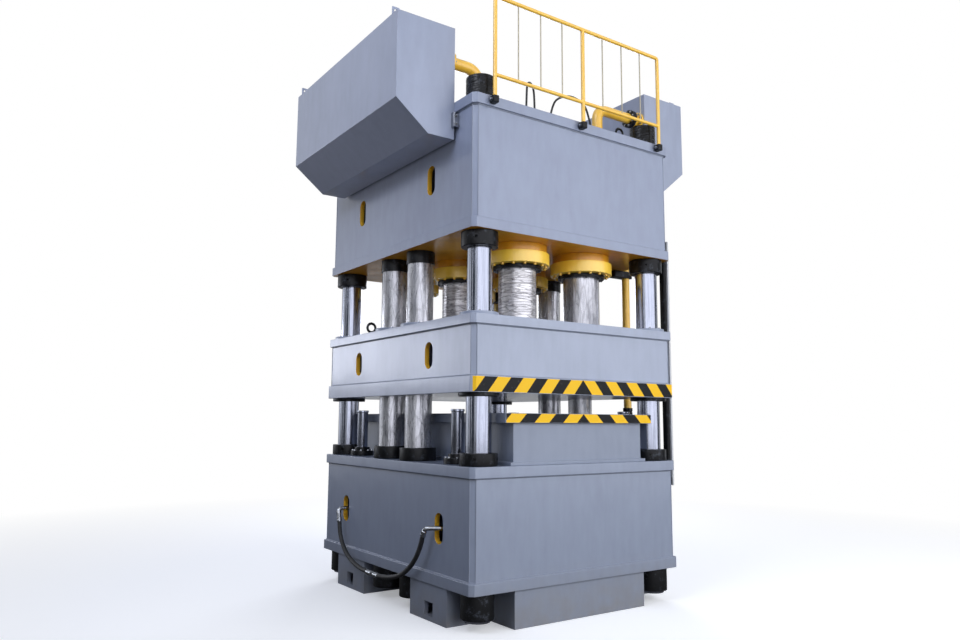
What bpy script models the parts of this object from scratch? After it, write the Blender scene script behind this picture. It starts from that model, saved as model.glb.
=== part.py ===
"""Column hydraulic press, in metres, +Z up, resting on z = 0 and centred on its columns.

A bed on a pedestal, a crown carried by eight columns with round nuts, a guided slide hung on six
plungers, four levelling cylinders, two oil tanks with their pipes, a guard rail and one hose.
"""

import math

import bmesh
import bpy
from mathutils import Matrix, Vector

# Overall outline of the three welded bodies
WIDTH = 2.60
DEPTH = 3.10
PLATE_PROUD = 0.025
CORNER_CHAMFER = 0.040
WALL = 0.050
RIB = 0.050
RIB_HOLE_R = 0.150
SLIDE_HOLE_R = 0.120
EDGE_ROUND = 0.006

# Heights above the floor
PEDESTAL_HEIGHT = 0.334
BED_HEIGHT = 1.083
BED_TOP_PLATE = 0.099
BED_FOOT_PLATE = 0.102
BOLSTER_HEIGHT = 0.383
BOLSTER_STEP = 0.031
BOLSTER_PLATE = 0.090
DAYLIGHT = 0.180
SLIDE_HEIGHT = 0.703
SLIDE_TOP_PLATE = 0.090
SLIDE_LOW_PLATE = 0.147
PLUNGER_SHOWN = 0.783
CROWN_HEIGHT = 1.275
CROWN_TOP_PLATE = 0.102
CROWN_LOW_PLATE = 0.098

# Fits
SEAT = 0.0003
RUNNING = 0.0010
FILM_ROOM = 0.009

# Corner columns and their nuts
COLUMN_EDGE_X = 0.200
COLUMN_EDGE_Y = 0.190
COLUMN_R = 0.1175
COLUMN_STUB = 0.025
NUT_R = 0.145
NUT_HEIGHT = 0.200
UPPER_COLLAR_R = 0.175
UPPER_COLLAR_HEIGHT = 0.145
LOWER_COLLAR_R = 0.175
LOWER_COLLAR_HEIGHT = 0.115
FOOT_NUT_R = 0.150
FOOT_NUT_HEIGHT = 0.230
TOMMY_R = 0.014
TOMMY_DEPTH = 0.030
TOMMY_HOLES = 4
UPPER_HOLES_AT = 0.50
LOWER_HOLES_AT = 0.55
NUT_EDGE = 0.008

# Columns of the middle of each side, with their film wrap in the radius
MID_COLUMN_Y = 0.28
MID_COLUMN_R = 0.136
MID_UPPER_R = 0.148
MID_UPPER_HEIGHT = 0.130
MID_LOWER_R = 0.185
MID_LOWER_HEIGHT = 0.130
MID_FOOT_NUT_R = 0.160
MID_HEAD_R = 0.160
MID_HEAD_HEIGHT = 0.150
HOUSING_WALL = 0.050

# Guide bushes of the slide
BUSH_FLANGE = 0.060
BUSH_TOP_HEIGHT = 0.028
WIPER_FLANGE = 0.070
WIPER_HEIGHT = 0.034

# Main cylinders, on two columns of three
CYLINDER_GAP_X = 0.210
CYLINDER_EDGE_Y = 0.490
CYLINDER_ROWS = (-1, 0, 1)
BARREL_R = 0.270
BARREL_WALL = 0.055
BARREL_BORE_R = BARREL_R - BARREL_WALL
BARREL_ROOM = 0.085
BARREL_END = 0.070
PLUNGER_PLAY = 0.025
PLUNGER_R = BARREL_BORE_R - PLUNGER_PLAY
PLUNGER_IN_CYLINDER = 0.420
PLUNGER_FOOT_RIM = 0.050
PLUNGER_FOOT_R = PLUNGER_R + PLUNGER_FOOT_RIM
PLUNGER_FOOT_HEIGHT = 0.035
FLANGE_RIM = 0.055
FLANGE_R = BARREL_R + FLANGE_RIM
FLANGE_HEIGHT = 0.120
FLANGE_STEP_RIM = 0.030
FLANGE_STEP_R = BARREL_R + FLANGE_STEP_RIM
FLANGE_STEP_HEIGHT = 0.080
GLAND_RING = 0.055
GLAND_R = PLUNGER_R + GLAND_RING
GLAND_HEIGHT = 0.040
GLAND_GAP = 0.008

# Slide travel
STROKE_UP = 0.450
STROKE_DOWN = 0.140
STOP_GAP = 0.003

# Levelling cylinders under the slide
LEVEL_IN_X = 0.010
LEVEL_IN_Y = 0.360
LEVEL_ROD_R = 0.060
LEVEL_ROD_IN_BARREL = 0.320
LEVEL_CAP_R = 0.066
LEVEL_CAP_HEIGHT = 0.022
LEVEL_BARREL_R = 0.090
LEVEL_BARREL_DEPTH = 0.660
LEVEL_END = 0.040
LEVEL_FLANGE_R = 0.130
LEVEL_FLANGE_HEIGHT = 0.055
LEVEL_GLAND_R = 0.086
LEVEL_GLAND_HEIGHT = 0.040

# Slots with round ends in the side walls
SLOT_WIDTH = 0.145
SLOT_FLAT = 0.001
SLOT_STEPS = 5
CROWN_SLOT_Y = 0.76
CROWN_SLOT_HEIGHT = 0.300
CROWN_SLOT_RISE = 0.624
SLIDE_SLOT_Y = 0.76
SLIDE_SLOT_HEIGHT = 0.260
SLIDE_SLOT_RISE = 0.370
BED_SLOT_IN_Y = 0.015
BED_SLOT_HEIGHT = 0.280
BED_SLOT_RISE = 0.506

# Bolster
BOLSTER_SIDE_ROOM = 0.054
BOLSTER_END_INSET = 0.045
BOLSTER_STEP_OUT = 0.045
BOLSTER_STEP_END = 0.022
BOLSTER_PLATE_ROOM = 0.030
BOLSTER_ROOF = 0.060

# Pedestal, a cross with its corners open for the column nuts
PEDESTAL_NUT_ROOM = 0.130
PEDESTAL_END_INSET = 0.030
ARM_END_INSET = 0.020
ARM_NEAR_ROOM = 0.050
ARM_FAR_ROOM = 0.070
PEDESTAL_WALL = 0.045
ACCESS_SHIFT = 0.015
ACCESS_WIDTH = 0.150
ACCESS_HEIGHT = 0.125
ACCESS_RISE = 0.105

# Oil tanks hung beside the crown
TANK_TOP_RISE = 0.749
TANK_LOW_DROP = 0.371
TANK_KNEE_DROP = 0.095
TANK_FLOOR_WIDTH = 0.286
TANK_WIDTH = 0.630
TANK_END = 0.110
TANK_SHEET = 0.008
TANK_LUG = 0.075
TANK_LUG_THICK = 0.014
TANK_LUG_HOLE_R = 0.018

# Pipes between the tanks and the crown
PIPE_R = 0.059
PORT_R = 0.047
PIPE_RISE = 0.449
PIPE_IN_Y = 0.260
LEFT_PIPE_IN_X = 0.340
RIGHT_PIPE_IN_X = 0.640
PIPE_BEND_R = 0.135
PIPE_FLANGE_R = 0.100
PIPE_FLANGE_HEIGHT = 0.026
JOINT_FLANGE_IN_X = 0.130

# Fill pipe down the right side
FILL_OUT_X = 0.092
FILL_Y = 0.77
FILL_R = 0.044
FILL_BEND_R = 0.078
FILL_CLAMP_DROP = 0.078
FILL_CLAMP_HALF = 0.057
FILL_UNION_RISE = 0.513
FILL_UNION_R = 0.056

# Switch post and scale bar beside the front right column
POST_OUT_X = 0.078
POST_HALF = 0.028
POST_LOW_DROP = 0.267
POST_TOP_RISE = 0.244
BAR_OUT_Y = 0.065
BAR_HALF = 0.011
POST_FOOT_HEIGHT = 0.090

# Guard rail on the crown
RAIL_OUT = 0.045
RAIL_R = 0.020
RAIL_LOW_R = 0.018
RAIL_POST_R = 0.021
RAIL_POST_LAP = 0.016
RAIL_END = 0.200
RAIL_POSTS = 3
RAIL_RODS = 3
RAIL_ROD_R = 0.008
RAIL_LOW_RISE = 0.189
RAIL_TOP_RISE = 0.969
RAIL_FOOT_DROP = 0.086
RAIL_FOOT_HALF = 0.030

# Lifting eyes
EYE_R = 0.050
EYE_WIRE_R = 0.015
EYE_SHANK_R = 0.024
EYE_SHANK = 0.020
EYE_STEPS = 12
EYE_WIRE_STEPS = 4
SLIDE_EYE_EDGE_X = 0.100
SLIDE_EYE_Y = 0.62
CROWN_EYE_X = 0.68
CROWN_EYE_EDGE_Y = 0.130

# Hose between the two left levelling cylinders
HOSE_R = 0.0225
HOSE_STEPS = 32
HOSE_FITTING_R = 0.026
FITTING_BEND_R = 0.035
FITTING_STRAIGHT = 0.060

# Small hoses that arch from boss to boss on the crown, placed from its front edge
CROWN_HOSE_R = 0.011
CROWN_HOSE_STEPS = 26
HOSE_BOSS_R = 0.020
HOSE_BOSS_HEIGHT = 0.030
HAIRPIN_RISE = 0.500
HAIRPIN_TOP_R = 0.100
ARCH_RISE = 0.460
ARCH_TOP_R = 0.235
ARCH_TO_PIPE = 0.190

# Facets of a turn
TURN_STEPS = 16
CYLINDER_STEPS = 20
SMALL_STEPS = 10
HOLE_STEPS = 12

# Levels worked out from the heights
BED_Z = PEDESTAL_HEIGHT
BED_TOP = BED_Z + BED_HEIGHT
BOLSTER_TOP = BED_TOP + BOLSTER_HEIGHT
TABLE_Z = BOLSTER_TOP + BOLSTER_PLATE
SLIDE_Z = TABLE_Z + DAYLIGHT
SLIDE_TOP = SLIDE_Z + SLIDE_HEIGHT
CROWN_Z = SLIDE_TOP + PLUNGER_SHOWN
CROWN_TOP = CROWN_Z + CROWN_HEIGHT
WALL_X = WIDTH / 2 - PLATE_PROUD
WALL_Y = DEPTH / 2 - PLATE_PROUD

# Places worked out from the outline and from what stands beside each piece
COLUMN_X = WIDTH / 2 - COLUMN_EDGE_X
COLUMN_Y = DEPTH / 2 - COLUMN_EDGE_Y
CYLINDER_X = FLANGE_R + CYLINDER_GAP_X / 2
CYLINDER_PITCH_Y = DEPTH / 2 - CYLINDER_EDGE_Y
LEVEL_X = COLUMN_X - LEVEL_IN_X
LEVEL_Y = COLUMN_Y - LEVEL_IN_Y
BED_SLOT_Y = LEVEL_Y - BED_SLOT_IN_Y
BOLSTER_BODY_HALF_X = COLUMN_X - MID_LOWER_R - BOLSTER_SIDE_ROOM - BOLSTER_STEP_OUT
BOLSTER_BODY_HALF_Y = DEPTH / 2 - BOLSTER_END_INSET
BOLSTER_PLATE_HALF_X = COLUMN_X - MID_COLUMN_R - BOLSTER_PLATE_ROOM
PEDESTAL_HALF_X = COLUMN_X - MID_FOOT_NUT_R - PEDESTAL_NUT_ROOM
PEDESTAL_HALF_Y = DEPTH / 2 - PEDESTAL_END_INSET
BLOCK_HALF_X = WIDTH / 2 - ARM_END_INSET
BLOCK_NEAR_Y = MID_COLUMN_Y + MID_FOOT_NUT_R + ARM_NEAR_ROOM
BLOCK_FAR_Y = COLUMN_Y - FOOT_NUT_R - ARM_FAR_ROOM
ACCESS_Y = (BLOCK_NEAR_Y + BLOCK_FAR_Y) / 2 + ACCESS_SHIFT
PIPE_Y = COLUMN_Y - PIPE_IN_Y
TANK_LENGTH = 2 * (PIPE_Y + TANK_END)
LEFT_PIPE_X = WIDTH / 2 - LEFT_PIPE_IN_X
RIGHT_PIPE_X = WIDTH / 2 - RIGHT_PIPE_IN_X
JOINT_FLANGE_X = WIDTH / 2 - JOINT_FLANGE_IN_X
FILL_X = WIDTH / 2 + FILL_OUT_X
POST_X = WIDTH / 2 + POST_OUT_X
POST_Y = COLUMN_Y
BAR_Y = POST_Y + BAR_OUT_Y
RAIL_SPAN = WIDTH - 2 * RAIL_END
SLIDE_EYE_X = WIDTH / 2 - SLIDE_EYE_EDGE_X
CROWN_EYE_Y = DEPTH / 2 - CROWN_EYE_EDGE_Y

# Levels of the fittings
FILL_LOW_Z = BED_Z + BED_SLOT_RISE
FILL_CLAMP_Z = CROWN_Z - FILL_CLAMP_DROP
FILL_UNION_Z = BED_TOP + FILL_UNION_RISE
POST_LOW_Z = BED_TOP - POST_LOW_DROP
POST_TOP_Z = CROWN_Z + POST_TOP_RISE
COLUMN_TOP = CROWN_TOP + NUT_HEIGHT + COLUMN_STUB
FOOT_NUT_Z = BED_Z - FOOT_NUT_HEIGHT
TANK_FACE_X = WIDTH / 2 + SEAT
PIPE_Z = CROWN_TOP + PIPE_RISE
LEVEL_ROD_TOP = SLIDE_Z - STROKE_DOWN - STOP_GAP
SIDES = (-1, 1)

# Colours of the paint and metals, as linear values
COLOURS = {
    "machine_grey": ((0.35, 0.38, 0.46), 0.45, 0.0),
    "shadow_black": ((0.012, 0.013, 0.016), 0.45, 0.2),
    "chrome": ((0.72, 0.73, 0.76), 0.12, 1.0),
    "wrapped_steel": ((0.55, 0.56, 0.58), 0.30, 0.8),
    "signal_yellow": ((0.88, 0.52, 0.02), 0.40, 0.0),
    "hose_rubber": ((0.010, 0.010, 0.011), 0.55, 0.0),
    "table_steel": ((0.30, 0.33, 0.40), 0.45, 0.1),
}


def clear_scene():
    for obj in list(bpy.data.objects):
        bpy.data.objects.remove(obj, do_unlink=True)


def new_collection(name):
    collection = bpy.data.collections.new(name)
    bpy.context.scene.collection.children.link(collection)
    return collection


clear_scene()
PRESS = new_collection("hydraulic_press")
CUTTERS = new_collection("cutters")


def material(name):
    """The Principled material of one finish, made once."""
    found = bpy.data.materials.get(name)
    if found:
        return found
    colour, roughness, metallic = COLOURS[name]
    made = bpy.data.materials.new(name)
    made.use_nodes = True
    shader = made.node_tree.nodes["Principled BSDF"]
    shader.inputs["Base Color"].default_value = (*colour, 1.0)
    shader.inputs["Roughness"].default_value = roughness
    shader.inputs["Metallic"].default_value = metallic
    return made


def object_from(bm, name, finish=None):
    """A part of the press where a finish is given, and otherwise a cutter or helper."""
    mesh = bpy.data.meshes.new(name)
    bm.to_mesh(mesh)
    bm.free()
    obj = bpy.data.objects.new(name, mesh)
    if finish:
        PRESS.objects.link(obj)
        mesh.materials.append(material(finish))
    else:
        hide_as_cutter(obj)
    return obj


def hide_as_cutter(obj):
    for collection in obj.users_collection:
        collection.objects.unlink(obj)
    CUTTERS.objects.link(obj)
    obj.hide_render = True
    obj.display_type = "WIRE"


def add_box(bm, low, high):
    """A box between two corners, added to a mesh under construction. Returns its vertices."""
    low, high = Vector(low), Vector(high)
    made = bmesh.ops.create_cube(bm, size=1.0)["verts"]
    for vert in made:
        vert.co = low + (high - low) * 0.5 + Vector(
            (high - low)[i] * vert.co[i] for i in range(3)
        )
    return made


def add_rod(bm, start, end, radius, steps=TURN_STEPS):
    """A cylinder between two points, added to a mesh under construction."""
    start, end = Vector(start), Vector(end)
    along = end - start
    turn = Vector((0, 0, 1)).rotation_difference(along).to_matrix().to_4x4()
    place = Matrix.Translation((start + end) / 2) @ turn
    bmesh.ops.create_cone(
        bm, cap_ends=True, segments=steps, radius1=radius, radius2=radius,
        depth=along.length, matrix=place,
    )


def box(name, low, high, finish=None):
    bm = bmesh.new()
    add_box(bm, low, high)
    return object_from(bm, name, finish)


def rods(name, lines, radius, finish=None, steps=TURN_STEPS):
    """Cylinders that don't touch each other, each between two points, in one object."""
    bm = bmesh.new()
    for start, end in lines:
        add_rod(bm, start, end, radius, steps)
    return object_from(bm, name, finish)


def upright_edges(bm):
    return [
        edge for edge in bm.edges
        if abs(edge.verts[0].co.z - edge.verts[1].co.z) > 1e-6
        and (edge.verts[0].co.xy - edge.verts[1].co.xy).length < 1e-6
    ]


def chamfered_plate(name, half_x, half_y, z_low, z_high, chamfer, finish=None):
    """A plate whose four upright corners are cut off at 45 degrees."""
    bm = bmesh.new()
    add_box(bm, (-half_x, -half_y, z_low), (half_x, half_y, z_high))
    bmesh.ops.bevel(
        bm, geom=upright_edges(bm), offset=chamfer, segments=1, affect="EDGES",
        offset_type="OFFSET", profile=0.5,
    )
    return object_from(bm, name, finish)


def turned(name, profile, at, finish=None, steps=TURN_STEPS, closed=False):
    """A profile of (radius, height) turned about a vertical axis, top to bottom on its outside."""
    bm = bmesh.new()
    points = [bm.verts.new((radius, 0.0, height)) for radius, height in profile]
    pairs = list(zip(points, points[1:]))
    if closed:
        pairs.append((points[-1], points[0]))
    for pair in pairs:
        bm.edges.new(pair)
    obj = object_from(bm, name, finish)
    obj.location = at
    screw = obj.modifiers.new("turn", "SCREW")
    screw.steps = steps
    screw.render_steps = steps
    screw.use_merge_vertices = True
    screw.merge_threshold = 0.0001
    screw.use_smooth_shade = True
    return obj


def boolean(obj, other, operation):
    step = obj.modifiers.new(other.name, "BOOLEAN")
    step.operation = operation
    step.solver = "EXACT"
    step.object = other
    if other.name not in CUTTERS.objects:
        hide_as_cutter(other)
    return obj


def cut(obj, *others):
    for other in others:
        boolean(obj, other, "DIFFERENCE")
    return obj


def join(obj, *others):
    for other in others:
        boolean(obj, other, "UNION")
    return obj


def rounded_path(corners, radius, steps=5):
    """The corners of a bent pipe with an arc of the given radius at each inner one."""
    corners = [Vector(corner) for corner in corners]
    path = [corners[0]]
    for before, corner, after in zip(corners, corners[1:], corners[2:]):
        way_in = (corner - before).normalized()
        way_out = (after - corner).normalized()
        half = way_in.angle(way_out) / 2
        setback = radius * math.tan(half)
        centre = corner + (way_out - way_in).normalized() * radius / math.cos(half)
        start = corner - way_in * setback - centre
        axis = way_in.cross(way_out).normalized()
        for step in range(steps + 1):
            turn = Matrix.Rotation(2 * half * step / steps, 3, axis)
            path.append(centre + turn @ start)
    path.append(corners[-1])
    return path


def smooth_path(points, count):
    """Evenly numbered points read from a Catmull-Rom curve through the given ones."""
    points = [Vector(point) for point in points]
    ends = [2 * points[0] - points[1], *points, 2 * points[-1] - points[-2]]
    path = []
    for i in range(count):
        place = i * (len(points) - 1) / (count - 1)
        span = min(int(place), len(points) - 2)
        t = place - span
        a, b, c, d = ends[span:span + 4]
        path.append(
            0.5 * (2 * b + (c - a) * t + (2 * a - 5 * b + 4 * c - d) * t * t
                   + (3 * b - a - 3 * c + d) * t ** 3)
        )
    return path


def tube_curve(name, path, radius, resolution, finish=None):
    curve = bpy.data.curves.new(name, "CURVE")
    curve.dimensions = "3D"
    curve.bevel_depth = radius
    curve.bevel_resolution = resolution
    curve.use_fill_caps = True
    spline = curve.splines.new("POLY")
    spline.points.add(len(path) - 1)
    for point, place in zip(spline.points, path):
        point.co = (*place, 1.0)
    obj = bpy.data.objects.new(name, curve)
    if finish:
        PRESS.objects.link(obj)
        curve.materials.append(material(finish))
    else:
        hide_as_cutter(obj)
    return obj


def as_mesh(obj, finish=None):
    """The object's evaluated shape as a plain closed mesh under the same name."""
    name = obj.name
    bpy.context.view_layer.update()
    graph = bpy.context.evaluated_depsgraph_get()
    mesh = bpy.data.meshes.new_from_object(obj.evaluated_get(graph))
    place = obj.matrix_world.copy()
    bpy.data.objects.remove(obj, do_unlink=True)
    bm = bmesh.new()
    bm.from_mesh(mesh)
    bpy.data.meshes.remove(mesh)
    bmesh.ops.remove_doubles(bm, verts=bm.verts, dist=0.00005)
    bmesh.ops.recalc_face_normals(bm, faces=bm.faces)
    made = object_from(bm, name, finish)
    made.matrix_world = place
    return made


def tube(name, path, radius, resolution=2, finish=None):
    return as_mesh(tube_curve(name, path, radius, resolution), finish)


def corner_places(x, y):
    """The four places that mirror each other in both vertical planes, with a name for each."""
    names = {(-1, -1): "front_left", (1, -1): "front_right", (-1, 1): "rear_left",
             (1, 1): "rear_right"}
    return [(names[i, j], i * x, j * y) for j in SIDES for i in SIDES]


def welded_body(name, z_low, z_high, low_plate, top_plate):
    """The outside of a plate weldment: a wide plate at each end of a slightly narrower box."""
    half_x, half_y = WIDTH / 2, DEPTH / 2
    lap = min(low_plate, top_plate) / 2
    body = chamfered_plate(
        name, half_x, half_y, z_low, z_low + low_plate, CORNER_CHAMFER, "machine_grey"
    )
    walls = chamfered_plate(
        name + "_walls", WALL_X, WALL_Y, z_low + low_plate - lap, z_high - top_plate + lap,
        CORNER_CHAMFER,
    )
    top = chamfered_plate(
        name + "_top", half_x, half_y, z_high - top_plate, z_high, CORNER_CHAMFER
    )
    return join(body, walls, top)


def column_places():
    return [
        (COLUMN_R, corner_places(COLUMN_X, COLUMN_Y)),
        (MID_COLUMN_R, corner_places(COLUMN_X, MID_COLUMN_Y)),
    ]


def column_rods(name, z_low, z_high, extras):
    """Upright rods on all eight columns, wider by one amount at the corners and one between."""
    bm = bmesh.new()
    for (radius, places), extra in zip(column_places(), extras):
        for _, x, y in places:
            add_rod(bm, (x, y, z_low), (x, y, z_high), radius + extra)
    return object_from(bm, name)


def bays(name, z_low, z_high):
    """The compartments between the ribs: six in the middle and four between the columns."""
    inner_x = COLUMN_X - MID_COLUMN_R - HOUSING_WALL
    half_y = WALL_Y - WALL
    bay_y = (2 * half_y - 2 * RIB) / 3
    near_y = MID_COLUMN_Y + MID_COLUMN_R + HOUSING_WALL
    far_y = COLUMN_Y - COLUMN_R - HOUSING_WALL
    bm = bmesh.new()
    for side in SIDES:
        outer = sorted((side * inner_x, side * (WALL_X - WALL)))
        middle = sorted((side * RIB / 2, side * (inner_x - RIB)))
        for end in SIDES:
            between = sorted((end * near_y, end * far_y))
            add_box(bm, (outer[0], between[0], z_low), (outer[1], between[1], z_high))
        for row in range(3):
            y = -half_y + row * (bay_y + RIB)
            add_box(bm, (middle[0], y, z_low), (middle[1], y + bay_y, z_high))
    return object_from(bm, name)


def lightening_holes(name, z, radius):
    """Holes through the long and the cross ribs, one to each bay, that join the compartments."""
    pitch = (2 * (WALL_Y - WALL) + RIB) / 3
    reach = {row: COLUMN_X if row else CYLINDER_X for row in CYLINDER_ROWS}
    across = [((-x, row * pitch, z), (x, row * pitch, z)) for row, x in reach.items()]
    along = [
        ((side * CYLINDER_X, -pitch, z), (side * CYLINDER_X, pitch, z)) for side in SIDES
    ]
    return (
        rods(name + "_across", across, radius, steps=HOLE_STEPS),
        rods(name + "_along", along, radius, steps=HOLE_STEPS),
    )


def side_slots(name, slot_y, z, height):
    """Cutters with round ends through both side walls, two on each side."""
    bm = bmesh.new()
    for _, x, y in corner_places(WALL_X, slot_y):
        made = add_box(
            bm,
            (x - WALL - PLATE_PROUD, y - SLOT_WIDTH / 2, z - height / 2),
            (x + WALL + PLATE_PROUD, y + SLOT_WIDTH / 2, z + height / 2),
        )
        across = {
            edge for vert in made for edge in vert.link_edges
            if abs(edge.verts[0].co.x - edge.verts[1].co.x) > 1e-6
        }
        bmesh.ops.bevel(
            bm, geom=list(across), offset=(SLOT_WIDTH - SLOT_FLAT) / 2, segments=SLOT_STEPS,
            affect="EDGES", offset_type="OFFSET", profile=0.5,
        )
    return object_from(bm, name)


def hollow_out(body, name, z_low, z_high, hole_r):
    """Cuts the compartments and the holes that join them."""
    middle = (z_low + z_high) / 2
    cut(body, bays(name + "_bays", z_low, z_high))
    return cut(body, *lightening_holes(name + "_holes", middle, hole_r))


def lifting_eye(name, x, y, z):
    """A ring on a short shank, ready to be joined to the plate that it stands on."""
    bpy.ops.mesh.primitive_torus_add(
        major_radius=EYE_R, minor_radius=EYE_WIRE_R, major_segments=EYE_STEPS,
        minor_segments=EYE_WIRE_STEPS, rotation=(math.pi / 2, 0, 0),
        location=(x, y, z + EYE_SHANK + EYE_R),
    )
    ring = bpy.context.object
    ring.name = name
    hide_as_cutter(ring)
    shank = rods(
        name + "_shank", [((x, y, z - WALL), (x, y, z + EYE_SHANK))], EYE_SHANK_R,
        steps=SMALL_STEPS,
    )
    return shank, ring


def pedestal():
    """A cross of ribbed boxes, open underneath between its arms, that carries the bed."""
    top = PEDESTAL_HEIGHT - SEAT
    body = box(
        "pedestal", (-PEDESTAL_HALF_X, -PEDESTAL_HALF_Y, 0),
        (PEDESTAL_HALF_X, PEDESTAL_HALF_Y, top), "machine_grey",
    )
    arms = bmesh.new()
    rooms = bmesh.new()
    ports = bmesh.new()
    inset = Vector((PEDESTAL_WALL, PEDESTAL_WALL, PEDESTAL_WALL))
    for side in SIDES:
        near, far = sorted((side * BLOCK_NEAR_Y, side * BLOCK_FAR_Y))
        low, high = Vector((-BLOCK_HALF_X, near, 0)), Vector((BLOCK_HALF_X, far, top))
        add_box(arms, low, high)
        add_box(rooms, low + inset, high - inset)
        add_box(
            ports,
            (-BLOCK_HALF_X - WALL, side * ACCESS_Y - ACCESS_WIDTH / 2,
             ACCESS_RISE - ACCESS_HEIGHT / 2),
            (BLOCK_HALF_X + WALL, side * ACCESS_Y + ACCESS_WIDTH / 2,
             ACCESS_RISE + ACCESS_HEIGHT / 2),
        )
    join(body, object_from(arms, "pedestal_arms"))
    open_rooms = bmesh.new()
    room_x = PEDESTAL_HALF_X - PEDESTAL_WALL
    spans = (
        (PEDESTAL_WALL / 2, BLOCK_NEAR_Y),
        (BLOCK_FAR_Y, PEDESTAL_HALF_Y - PEDESTAL_WALL),
    )
    for side in SIDES:
        for span in spans:
            near, far = sorted(side * y for y in span)
            add_box(open_rooms, (-room_x, near, -WALL), (room_x, far, top - PEDESTAL_WALL))
    cut(body, object_from(rooms, "pedestal_rooms"), object_from(ports, "pedestal_ports"))
    return cut(body, object_from(open_rooms, "pedestal_open_rooms"))


def bed():
    body = welded_body("bed", BED_Z, BED_TOP, BED_FOOT_PLATE, BED_TOP_PLATE)
    hollow_out(body, "bed", BED_Z + BED_FOOT_PLATE, BED_TOP - BED_TOP_PLATE, RIB_HOLE_R)
    cut(body, column_rods("bed_bores", BED_Z - WALL, BED_TOP + WALL, (SEAT, SEAT)))
    cut(body, side_slots("bed_slots", BED_SLOT_Y, BED_Z + BED_SLOT_RISE, BED_SLOT_HEIGHT))
    wells = [
        ((x, y, BED_TOP - BED_TOP_PLATE - WALL), (x, y, BED_TOP + WALL))
        for _, x, y in corner_places(LEVEL_X, LEVEL_Y)
    ]
    return cut(body, rods("bed_wells", wells, LEVEL_BARREL_R + SEAT))


def bolster():
    """A ribbed block, open underneath, and the plate that the dies stand on."""
    low = BED_TOP + SEAT
    body = box(
        "bolster_body", (-BOLSTER_BODY_HALF_X, -BOLSTER_BODY_HALF_Y, low),
        (BOLSTER_BODY_HALF_X, BOLSTER_BODY_HALF_Y, BOLSTER_TOP), "machine_grey",
    )
    step_x = BOLSTER_BODY_HALF_X + BOLSTER_STEP_OUT
    step_y = BOLSTER_BODY_HALF_Y + BOLSTER_STEP_END
    join(body, box("bolster_step", (-step_x, -step_y, low), (step_x, step_y, low + BOLSTER_STEP)))
    rooms = bmesh.new()
    room_x = BOLSTER_BODY_HALF_X - WALL
    room_y = BOLSTER_BODY_HALF_Y - WALL
    long_y = (2 * room_y - 2 * RIB) / 3
    for side in SIDES:
        near, far = sorted((side * RIB / 2, side * room_x))
        for row in range(3):
            y = -room_y + row * (long_y + RIB)
            add_box(rooms, (near, y, low - WALL), (far, y + long_y, BOLSTER_TOP - BOLSTER_ROOF))
    cut(body, object_from(rooms, "bolster_rooms"))
    return body, chamfered_plate(
        "bolster_plate", BOLSTER_PLATE_HALF_X, DEPTH / 2, BOLSTER_TOP + SEAT, TABLE_Z,
        EDGE_ROUND, "table_steel",
    )


def crown():
    """The upper weldment, bored for the columns and for the six main cylinders."""
    body = welded_body("crown", CROWN_Z, CROWN_TOP, CROWN_LOW_PLATE, CROWN_TOP_PLATE)
    hollow_out(
        body, "crown", CROWN_Z + CROWN_LOW_PLATE, CROWN_TOP - CROWN_TOP_PLATE, RIB_HOLE_R
    )
    cut(body, column_rods("crown_bores", CROWN_Z - WALL, CROWN_TOP + WALL, (SEAT, SEAT)))
    cut(body, side_slots("crown_slots", CROWN_SLOT_Y, CROWN_Z + CROWN_SLOT_RISE,
                         CROWN_SLOT_HEIGHT))
    seats = [
        ((x, y, CROWN_Z - WALL), (x, y, CROWN_Z + CROWN_LOW_PLATE + WALL))
        for _, x, y in cylinder_places()
    ]
    cut(body, rods("crown_seats", seats, BARREL_R + SEAT, steps=CYLINDER_STEPS))
    for side in SIDES:
        join(body, *lifting_eye(
            "crown_eye_" + str(side), -side * CROWN_EYE_X, side * CROWN_EYE_Y, CROWN_TOP
        ))
    bosses = [
        ((*place, CROWN_TOP - WALL), (*place, CROWN_TOP + HOSE_BOSS_HEIGHT))
        for _, *ends, _ in crown_hoses() for place in ends
    ]
    return join(body, rods("hose_bosses", bosses, HOSE_BOSS_R, steps=SMALL_STEPS))


def cylinder_places():
    rows = {-1: "front", 0: "middle", 1: "rear"}
    columns = {-1: "left", 1: "right"}
    return [
        (rows[row] + "_" + columns[side], side * CYLINDER_X, row * CYLINDER_PITCH_Y)
        for row in CYLINDER_ROWS for side in SIDES
    ]


def collar_ring(name, radius, bore_r, z_low, height, at, chamfer_top):
    """A plain ring round a column, chamfered on its outer edge at one end."""
    top = z_low + height
    if chamfer_top:
        outside = [(radius - NUT_EDGE, top), (radius, top - NUT_EDGE), (radius, z_low)]
    else:
        outside = [(radius, top), (radius, z_low + NUT_EDGE), (radius - NUT_EDGE, z_low)]
    profile = [(bore_r, top), *outside, (bore_r, z_low)]
    return turned(name, profile, (*at, 0), "shadow_black", closed=True)


def round_nut(name, radius, z_low, height, at, chamfer_top, holes_at):
    """A round nut on a corner column, with blind tommy-bar holes at a share of its height."""
    nut = collar_ring(name, radius, COLUMN_R + SEAT, z_low, height, at, chamfer_top)
    lines = []
    for i in range(TOMMY_HOLES):
        angle = 2 * math.pi * (i + 0.5) / TOMMY_HOLES
        out = Vector((math.cos(angle), math.sin(angle), 0))
        place = Vector((*at, z_low + height * holes_at))
        lines.append((place + out * (radius - TOMMY_DEPTH), place + out * (radius + WALL)))
    return cut(nut, rods(name + "_holes", lines, TOMMY_R, steps=6))


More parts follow.
